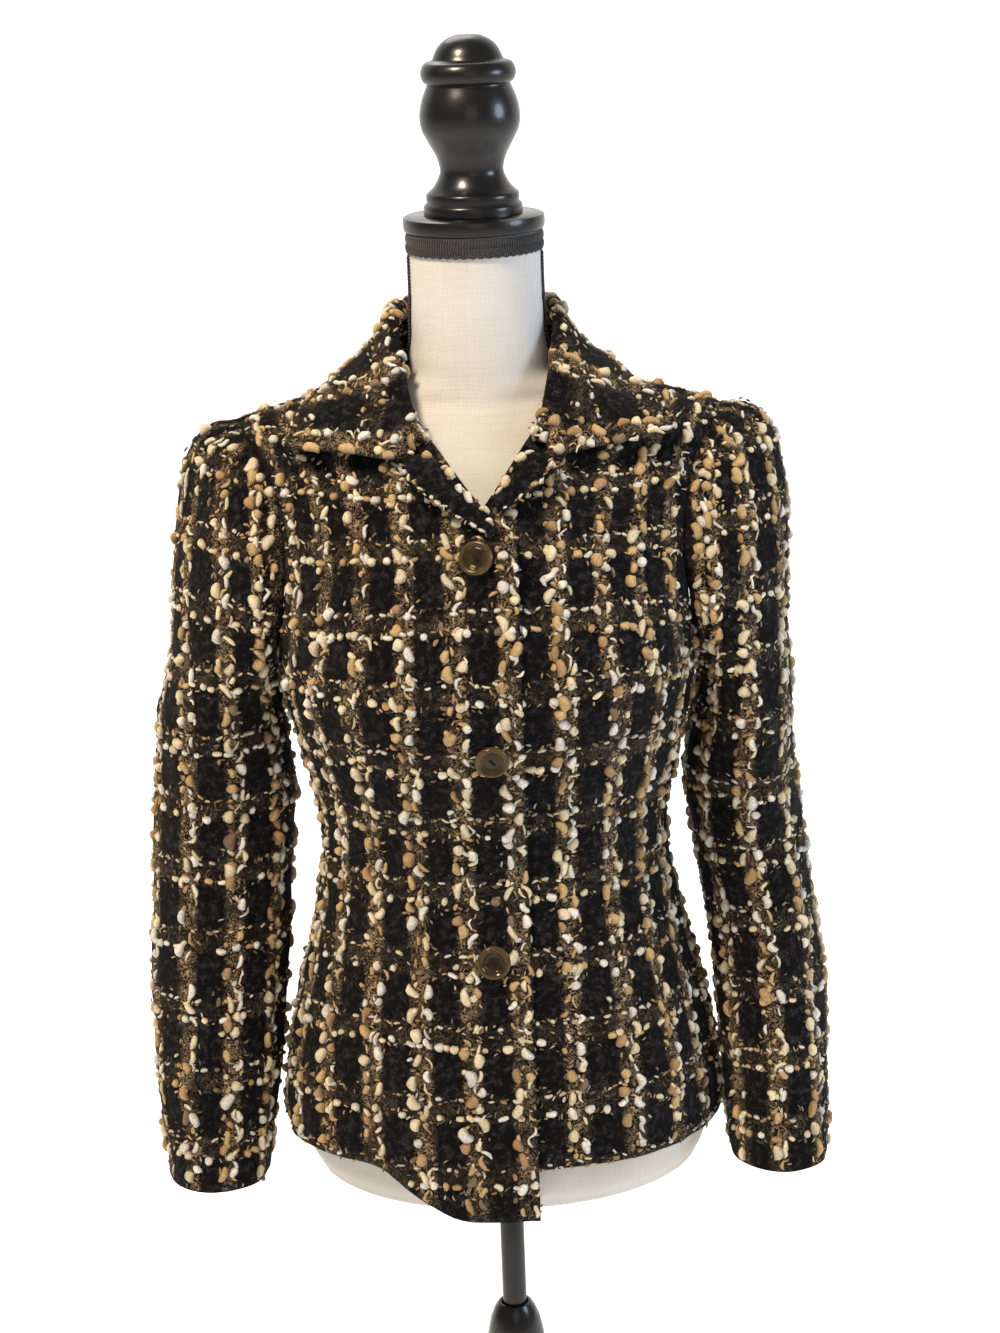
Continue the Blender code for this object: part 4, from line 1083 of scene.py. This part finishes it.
def sleeve_grid(side):
    """Outer points of a sleeve, rows from the cuff to the armhole, columns round it from the inside."""
    table = (LEFT_SLEEVE if side > 0 else RIGHT_SLEEVE)[::-1]
    reach, lift, spread, fullness = LEFT_CAP if side > 0 else RIGHT_CAP
    turn = full_turn(2 * (UPPER_ROWS - 1))
    hole = armhole_edge(side)
    rows = []
    for height in np.linspace(table[0][0], table[-1][0], ARM_ROWS):
        out, half_width, depth, half_depth = (
            read_table(height, table, SLEEVE_COLUMNS, name) for name in SLEEVE_COLUMNS[1:]
        )
        grown = sum(fold(turn, height, row) for row in SLEEVE_FOLDS)
        x, y = out - (half_width + grown) * np.cos(turn), depth - (half_depth + grown) * np.sin(turn)
        rows.append(np.stack([side * x, y, np.full_like(x, height)], axis=-1))
    upper_arm = rows[-1]
    fall = np.linalg.norm(upper_arm - hole, axis=1)
    over = (1 - np.cos(turn)) / 2
    rising = lift * over - fall * (1 - over)
    leaving = np.stack([side * reach * over, -fullness * np.sin(turn), rising], axis=-1)
    arriving = np.stack([side * spread * over, 0 * fall, -fall], axis=-1)
    for s in np.linspace(1, 0, CAP_ROWS + 1)[1:]:
        from_hole, out_of_hole = (1 + 2 * s) * (1 - s) ** 2, s * (1 - s) ** 2
        to_arm, into_arm = s * s * (3 - 2 * s), s * s * (s - 1)
        rows.append(from_hole * hole + out_of_hole * leaving + to_arm * upper_arm + into_arm * arriving)
    grid = np.array(rows)
    return grid if side > 0 else grid[:, ::-1]


for name, side in SIDES:
    sleeve = sleeve_grid(side)
    warp = sleeve_warp(sleeve, side)
    weft = sleeve[0, :, 2] + lengths(sleeve, 0)
    cloth = woven_piece(
        f"sleeve_{name}",
        sleeve,
        warp,
        weft,
        seed=31 + side,
        around=True,
        seams=((0, 1),),
        sewn_to=sleeve[-1] + HANGS_ASIDE,
    )
    slubs = slub_piece(f"sleeve_{name}", check_lines(f"sleeve_{name}"), 32 + side)
    cut_area(sleeve, True)


# Collar: one turned-down piece that stands round the neck, rolls over and falls on the shoulders.
# It is sewn to the neckline, and its front edges stand a little off the fronts.
COLLAR_PARTS = ("neck", "roll", "fall", "edge")
COLLAR_STATIONS = (
    ((0.0, 0.061, 0.889), (0.0, 0.060, 0.934), (0.0, 0.080, 0.910), (0.0, 0.095, 0.869)),
    ((0.036, 0.051, 0.8905), (0.033, 0.051, 0.935), (0.046, 0.068, 0.910), (0.060, 0.086, 0.869)),
    ((0.058, 0.027, 0.895), (0.0475, 0.027, 0.935), (0.068, 0.037, 0.909), (0.093, 0.051, 0.879)),
    ((0.063, -0.002, 0.896), (0.0505, -0.003, 0.932), (0.0755, -0.001, 0.908), (0.106, 0.006, 0.8845)),
    ((0.059, -0.0285, 0.889), (0.048, -0.033, 0.9035), (0.0745, -0.0365, 0.895), (0.119, -0.0245, 0.8775)),
    ((0.050, -0.0515, 0.8755), (0.0425, -0.0565, 0.879), (0.064, -0.070, 0.8705), (0.128, -0.048, 0.8675)),
    ((0.040, -0.066, 0.8605), (0.034, -0.075, 0.8575), (0.051, -0.087, 0.847), (0.1315, -0.066, 0.856)),
)
ROLL_RADIUS, COLLAR_SUBSTEPS, COLLAR_ROWS, COLLAR_LINE_IN = 0.0044, 10, 40, 0.009
COLLAR_BANDS, COLLAR_END_IN, ROLL_TURNS_DEG = 12, 0.006, (45, 90, 135)


def along_curve(points, count):
    """Points along a smooth curve through the given ones, spaced by their number."""
    points = np.asarray(points, float)
    at, numbers = np.linspace(0, len(points) - 1, count), np.arange(len(points))
    return np.stack([read_smooth(at, numbers, values) for values in points.T], axis=-1)


def square_to(direction, axis):
    """The unit direction left when the part along the axis is taken away."""
    left = direction - axis * (direction @ axis) / (axis @ axis)
    return left / np.linalg.norm(left)


def collar_grid():
    """Outer points of the collar: rows from neck seam over the roll to the edge, columns right to left."""
    count = (len(COLLAR_STATIONS) - 1) * COLLAR_SUBSTEPS + 1
    half = {name: along_curve(line, count) for name, line in zip(COLLAR_PARTS, zip(*COLLAR_STATIONS))}
    lengthwise = np.gradient(half["roll"], axis=0)
    columns = []
    for k in range(count):
        neck, roll, fall, edge = (half[name][k] for name in COLLAR_PARTS)
        up = square_to(roll - neck, lengthwise[k])
        away = square_to(square_to(fall - roll, lengthwise[k]), up)
        before = roll - ROLL_RADIUS * up
        profile = [neck, (neck + before) / 2, before]
        for turn in ROLL_TURNS_DEG:
            lift, out = math.sin(math.radians(turn)) - 1, 1 - math.cos(math.radians(turn))
            profile.append(roll + ROLL_RADIUS * (lift * up + out * away))
        profile += [before + 2 * ROLL_RADIUS * away, fall, (fall + edge) / 2, edge]
        columns.append(along_curve(profile, COLLAR_ROWS))
    left = np.array(columns)
    right = left[::-1] * np.array([-1, 1, 1])
    return np.concatenate([right[:-1], left]).transpose(1, 0, 2)


collar = collar_grid()
edge_length = lengths(collar, 1)[-1]
across = np.linspace(-COLLAR_END_IN, COLLAR_BANDS * BAND_STEP + COLLAR_END_IN, len(edge_length))
by_edge = np.interp(edge_length / edge_length[-1], np.linspace(0, 1, len(across)), across)
warp = np.broadcast_to(by_edge, collar.shape[:2])
weft = lengths(collar, 0) - lengths(collar, 0)[-1] + COLLAR_LINE_IN
collar_cloth = woven_piece("collar", collar, warp, weft, seed=41)
slubs = slub_piece("collar", check_lines("collar"), 42)
cut_area(collar)


# Lapels: the fronts' upper corners, turned back on a soft roll. Their ends are rounded
# and stand a little off the fronts. Each row is a point on the roll and one on the edge, as (out, height).
RIGHT_LAPEL = (
    ((-0.0095, 0.7965), (-0.0035, 0.7930)),
    ((0.0000, 0.8110), (0.0100, 0.8010)),
    ((0.0130, 0.8270), (0.0310, 0.8130)),
    ((0.0330, 0.8495), (0.0570, 0.8320)),
)
LEFT_LAPEL = (
    ((0.0050, 0.8170), (0.0110, 0.8095)),
    ((0.0100, 0.8235), (0.0215, 0.8120)),
    ((0.0175, 0.8335), (0.0335, 0.8185)),
    ((0.0325, 0.8490), (0.0515, 0.8320)),
)
LAPEL_PUFF, LAPEL_STAND, LAPEL_ROUND_END = 0.0060, 0.0090, 0.16
LAPEL_ROWS, LAPEL_COLUMNS, LAPEL_TIP_CUT, LAPEL_LEAST_PUFF = 44, 19, 0.93, 0.35
LAPEL_BETWEEN_BANDS, LAPEL_YARN_IN = (0.0105, 0.0250), 0.0012
ROLL_YARNS, EDGE_YARNS = ("small_nub", "white_nub", "white_nub", "dash"), ("dash", "fleck")


def lapel_grid(side):
    """Outer points of a lapel on its front: rows from the break to the notch, columns from roll to edge."""
    table = LEFT_LAPEL if side > 0 else RIGHT_LAPEL
    roll, edge = (along_curve([row[k] for row in table], LAPEL_ROWS) for k in (0, 1))
    share = np.linspace(0, 1, LAPEL_COLUMNS)
    at = np.linspace(0, 1, LAPEL_ROWS)
    to_tip = np.clip((at - 1 + LAPEL_ROUND_END) / LAPEL_ROUND_END, 0, LAPEL_TIP_CUT)
    narrow = np.sqrt(1 - to_tip**2)
    spread = 0.5 + (share - 0.5) * narrow[:, None]
    out = roll[:, None, 0] + (edge - roll)[:, None, 0] * spread
    height = roll[:, None, 1] + (edge - roll)[:, None, 1] * spread
    on_front = np.array([upper_point(o, r, side, False) for o, r in zip(out, rise_at(height, out))])
    most = 1 - LAPEL_LEAST_PUFF
    puff = LAPEL_PUFF * (LAPEL_LEAST_PUFF + most * np.sin(math.pi * (0.08 + 0.80 * share)))
    puff = puff * (LAPEL_LEAST_PUFF + most * narrow[:, None])
    stand = LAPEL_STAND * at[:, None] ** 1.5 * share
    lift = SEAM_GAP + CLOTH_WALL + LAYER_GAP + puff + stand
    if side < 0:
        on_front, lift = on_front[:, ::-1], (lift + lift_of_right(out, height))[:, ::-1]
    return on_front + normals(on_front) * lift[..., None]


for name, side in SIDES:
    lapel = lapel_grid(side)
    warp = np.broadcast_to(np.linspace(*LAPEL_BETWEEN_BANDS, LAPEL_COLUMNS), lapel.shape[:2])
    weft = np.broadcast_to(LINE_STEP / 2, lapel.shape[:2])
    cloth = woven_piece(f"lapel_{name}", lapel, warp, weft, seed=51 + side)
    roll_edge, outer_edge = LAPEL_BETWEEN_BANDS if side > 0 else LAPEL_BETWEEN_BANDS[::-1]
    inwards = LAPEL_YARN_IN * np.sign(outer_edge - roll_edge)
    lines = [(roll_edge + inwards, True, kind) for kind in ROLL_YARNS]
    lines += [(outer_edge - inwards, True, kind) for kind in EDGE_YARNS]
    slubs = slub_piece(f"lapel_{name}", lines, 52 + side)
    cut_area(lapel)


# Buttons: polished horn-look buttons with a thick rounded rim, an inner ring and a dished centre
# with two holes. They are sewn through with dark thread down the centre of the right front.
BUTTON_STAND, BUTTON_PATCH, BUTTON_RADIUS, BUTTON_LEAST_RING = 0.0014, 0.004, 0.0118, 0.0004
# Each place is a distance out and a height.
BUTTON_PLACES = ((0.0040, 0.7820), (-0.0005, 0.6510), (0.0035, 0.4990))
# Each row is a radius and a height, from the middle of the face round the rim to the back.
BUTTON_PROFILE = (
    (0.0000, 0.00215),
    (0.0040, 0.00210),
    (0.0056, 0.00225),
    (0.0061, 0.00265),
    (0.0066, 0.00280),
    (0.0071, 0.00265),
    (0.0078, 0.00285),
    (0.0088, 0.00365),
    (0.0098, 0.00400),
    (0.0108, 0.00375),
    (0.0115, 0.00295),
    (0.0118, 0.00190),
    (0.0115, 0.00090),
    (0.0106, 0.00035),
    (0.0000, 0.00000),
)
BUTTON_STEPS, HOLE_OFF, HOLE_ROUND, HOLE_SIDES = 64, 0.0021, 0.00105, 12
HOLE_HEIGHTS = (0.0016, 0.0020, 0.00222)
STITCH_HEIGHT, STITCH_ARCH, STITCH_APART, STITCH_ROUND = 0.00215, 0.0004, 0.0004, 0.00042
HORN_FINISH = {"Specular Tint": (1.0, 0.80, 0.50, 1), "Specular IOR Level": 0.28}
HORN_DARK, HORN_AMBER, HORN_STREAK = (0.013, 0.0085, 0.0048), (0.074, 0.050, 0.020), (0.10, 0.072, 0.036)
THREAD_BLACK, THREAD_BROWN = (0.004, 0.0035, 0.003), (0.020, 0.014, 0.009)

horn, shader, wire, place = new_finish("horn_look", HORN_FINISH)
cloudy = wire.noise(place, 130, 4, 0.6)
streak = wire.noise(place, 60, 3, 0.6, (1.0, 1.0, 0.25))
rim = wire.attribute("rim", "Fac")
ambered = rim.between(0.55, 1.0) * 0.65 + cloudy.between(0.45, 0.75) * 0.35
colour = wire.mixed(ambered, HORN_DARK, HORN_AMBER)
colour = wire.mixed(streak.between(0.63, 0.74) * 0.5, colour, HORN_STREAK)
feed(shader, colour, 0.10 + 0.10 * cloudy, cloudy, 0.04, 0.0005)
thread, shader, wire, place = new_finish("button_thread", {"Specular IOR Level": 0.1})
twist = wire.noise(place, 2200, 2)
feed(shader, wire.mixed(twist, THREAD_BLACK, THREAD_BROWN), 0.7 + 0.2 * twist, twist, 0.4, 0.0003)

for number, (from_centre, height) in enumerate(BUTTON_PLACES, 1):
    near = BUTTON_PATCH * np.array([-1, 0, 1])
    out, up = np.meshgrid(from_centre - near, height + near)
    low = lower_point(-angle_at(out, up), up)
    high = upper_point(out, np.maximum(rise_at(up, out), 0), -1, False)
    patch = np.where(up[..., None] < UNDERARM_HEIGHT, low, high)
    patch = patch + lift_of_right(out, up)[..., None] * normals(patch)
    outward = normals(patch)[1, 1]
    seat = patch[1, 1] + outward * BUTTON_STAND + HANGS_ASIDE
    side = np.cross((0, 0, 1), outward)
    side = side / np.linalg.norm(side)
    axes = np.stack([side, np.cross(outward, side), outward])
    curve = rounded(BUTTON_PROFILE, (len(BUTTON_PROFILE) - 1,))[::-1]
    points, faces = turned([(r, z) for r, z in curve if r > BUTTON_LEAST_RING], BUTTON_STEPS)
    node = f"button_{number}"
    button = new_piece(f"{node}_horn", points @ axes + seat, faces, horn, node, "horn_button")
    kept = button.data.attributes.new("rim", "FLOAT", "POINT")
    kept.data.foreach_set("value", (np.hypot(points[:, 0], points[:, 1]) / BUTTON_RADIUS).astype(np.float32))
    cut, beside = np.array([[1, -1, 0], [1, 1, 0]]) / math.sqrt(2)
    stitch = np.linspace(-1, 1, 9)[:, None]
    arch = cut * HOLE_OFF * stitch + np.array([0, 0, 1]) * (STITCH_HEIGHT + STITCH_ARCH * (1 - stitch**2))
    sewn = [tube(arch + beside * way * STITCH_APART, STITCH_ROUND) for way in (-1, 1)]
    for end in (-1, 1):
        well = [cut * HOLE_OFF * end + np.array([0, 0, z]) for z in HOLE_HEIGHTS]
        sewn.append(tube(well, HOLE_ROUND, HOLE_SIDES))
    points, faces = joined(sewn)
    new_piece(f"{node}_thread", points @ axes + seat, faces, thread)


# Floor and backdrop: plain white paper, swept up behind the stand, with soft light from the upper left
# and cooler daylight from the right.
PAPER_WHITE, PAPER_GREY = (0.93, 0.93, 0.93), (0.86, 0.86, 0.86)
PAPER_FINISH = {"Emission Color": (1, 1, 1, 1), "Emission Strength": 0.50}
SWEEP_BACK, SWEEP_RADIUS, SWEEP_HALF, SWEEP_TOP, SWEEP_STEPS, SWEEP_DROP = 2.6, 1.2, 9.0, 7.0, 13, 0.0002
WARM, COOL, PLAIN = (1.0, 0.83, 0.64), (0.66, 0.80, 1.0), (1.0, 0.97, 0.93)
# Each light is a place, an aim, a size, a power and a tint.
LIGHTS = (
    ((-0.9, -1.0, 2.65), (0, 0, 0.80), 0.6, 86, WARM),
    ((1.8, -0.6, 1.3), (0, 0, 0.70), 0.8, 26, COOL),
    ((0.2, -2.6, 1.5), (0, 0, 0.65), 1.4, 5, PLAIN),
    ((-0.3, 1.3, 2.4), (0, 0, 0.75), 1.2, 12, PLAIN),
)
WORLD_TINT, WORLD_STRENGTH = (1.0, 0.98, 0.96, 1), 0.36

paper, shader, wire, place = new_finish("white_paper", PAPER_FINISH)
fibre = wire.noise(place, 40, 3)
feed(shader, wire.mixed(fibre * 0.06, PAPER_WHITE, PAPER_GREY), 0.9 + 0.05 * fibre)
profile = [(-SWEEP_HALF, 0.0), (SWEEP_BACK, 0.0)]
for turn in np.linspace(0, math.pi / 2, SWEEP_STEPS)[1:]:
    profile.append((SWEEP_BACK + SWEEP_RADIUS * math.sin(turn), SWEEP_RADIUS * (1 - math.cos(turn))))
profile.append((SWEEP_BACK + SWEEP_RADIUS, SWEEP_TOP))
points = [(x, y, z - SWEEP_DROP) for y, z in profile for x in (-SWEEP_HALF, SWEEP_HALF)]
mesh = bpy.data.meshes.new("backdrop")
mesh.from_pydata(points, [], grid_faces(len(profile), 2))
mesh.shade_smooth()
mesh.materials.append(paper)
backdrop = bpy.data.objects.new("backdrop", mesh)
bpy.context.scene.collection.objects.link(backdrop)

for number, (spot, aim, size, power, tint) in enumerate(LIGHTS):
    lamp = bpy.data.lights.new(f"softbox_{number}", "AREA")
    lamp.shape, lamp.size, lamp.energy, lamp.color = "DISK", size, power, tint
    light = bpy.data.objects.new(lamp.name, lamp)
    light.location = spot
    light.rotation_euler = (Vector(spot) - Vector(aim)).to_track_quat("Z", "Y").to_euler()
    bpy.context.scene.collection.objects.link(light)
world = bpy.data.worlds.new("studio")
world.use_nodes = True
sky = world.node_tree.nodes["Background"].inputs
sky["Color"].default_value = WORLD_TINT
sky["Strength"].default_value = WORLD_STRENGTH
bpy.context.scene.world = world
bpy.context.scene.view_settings.view_transform = "Standard"
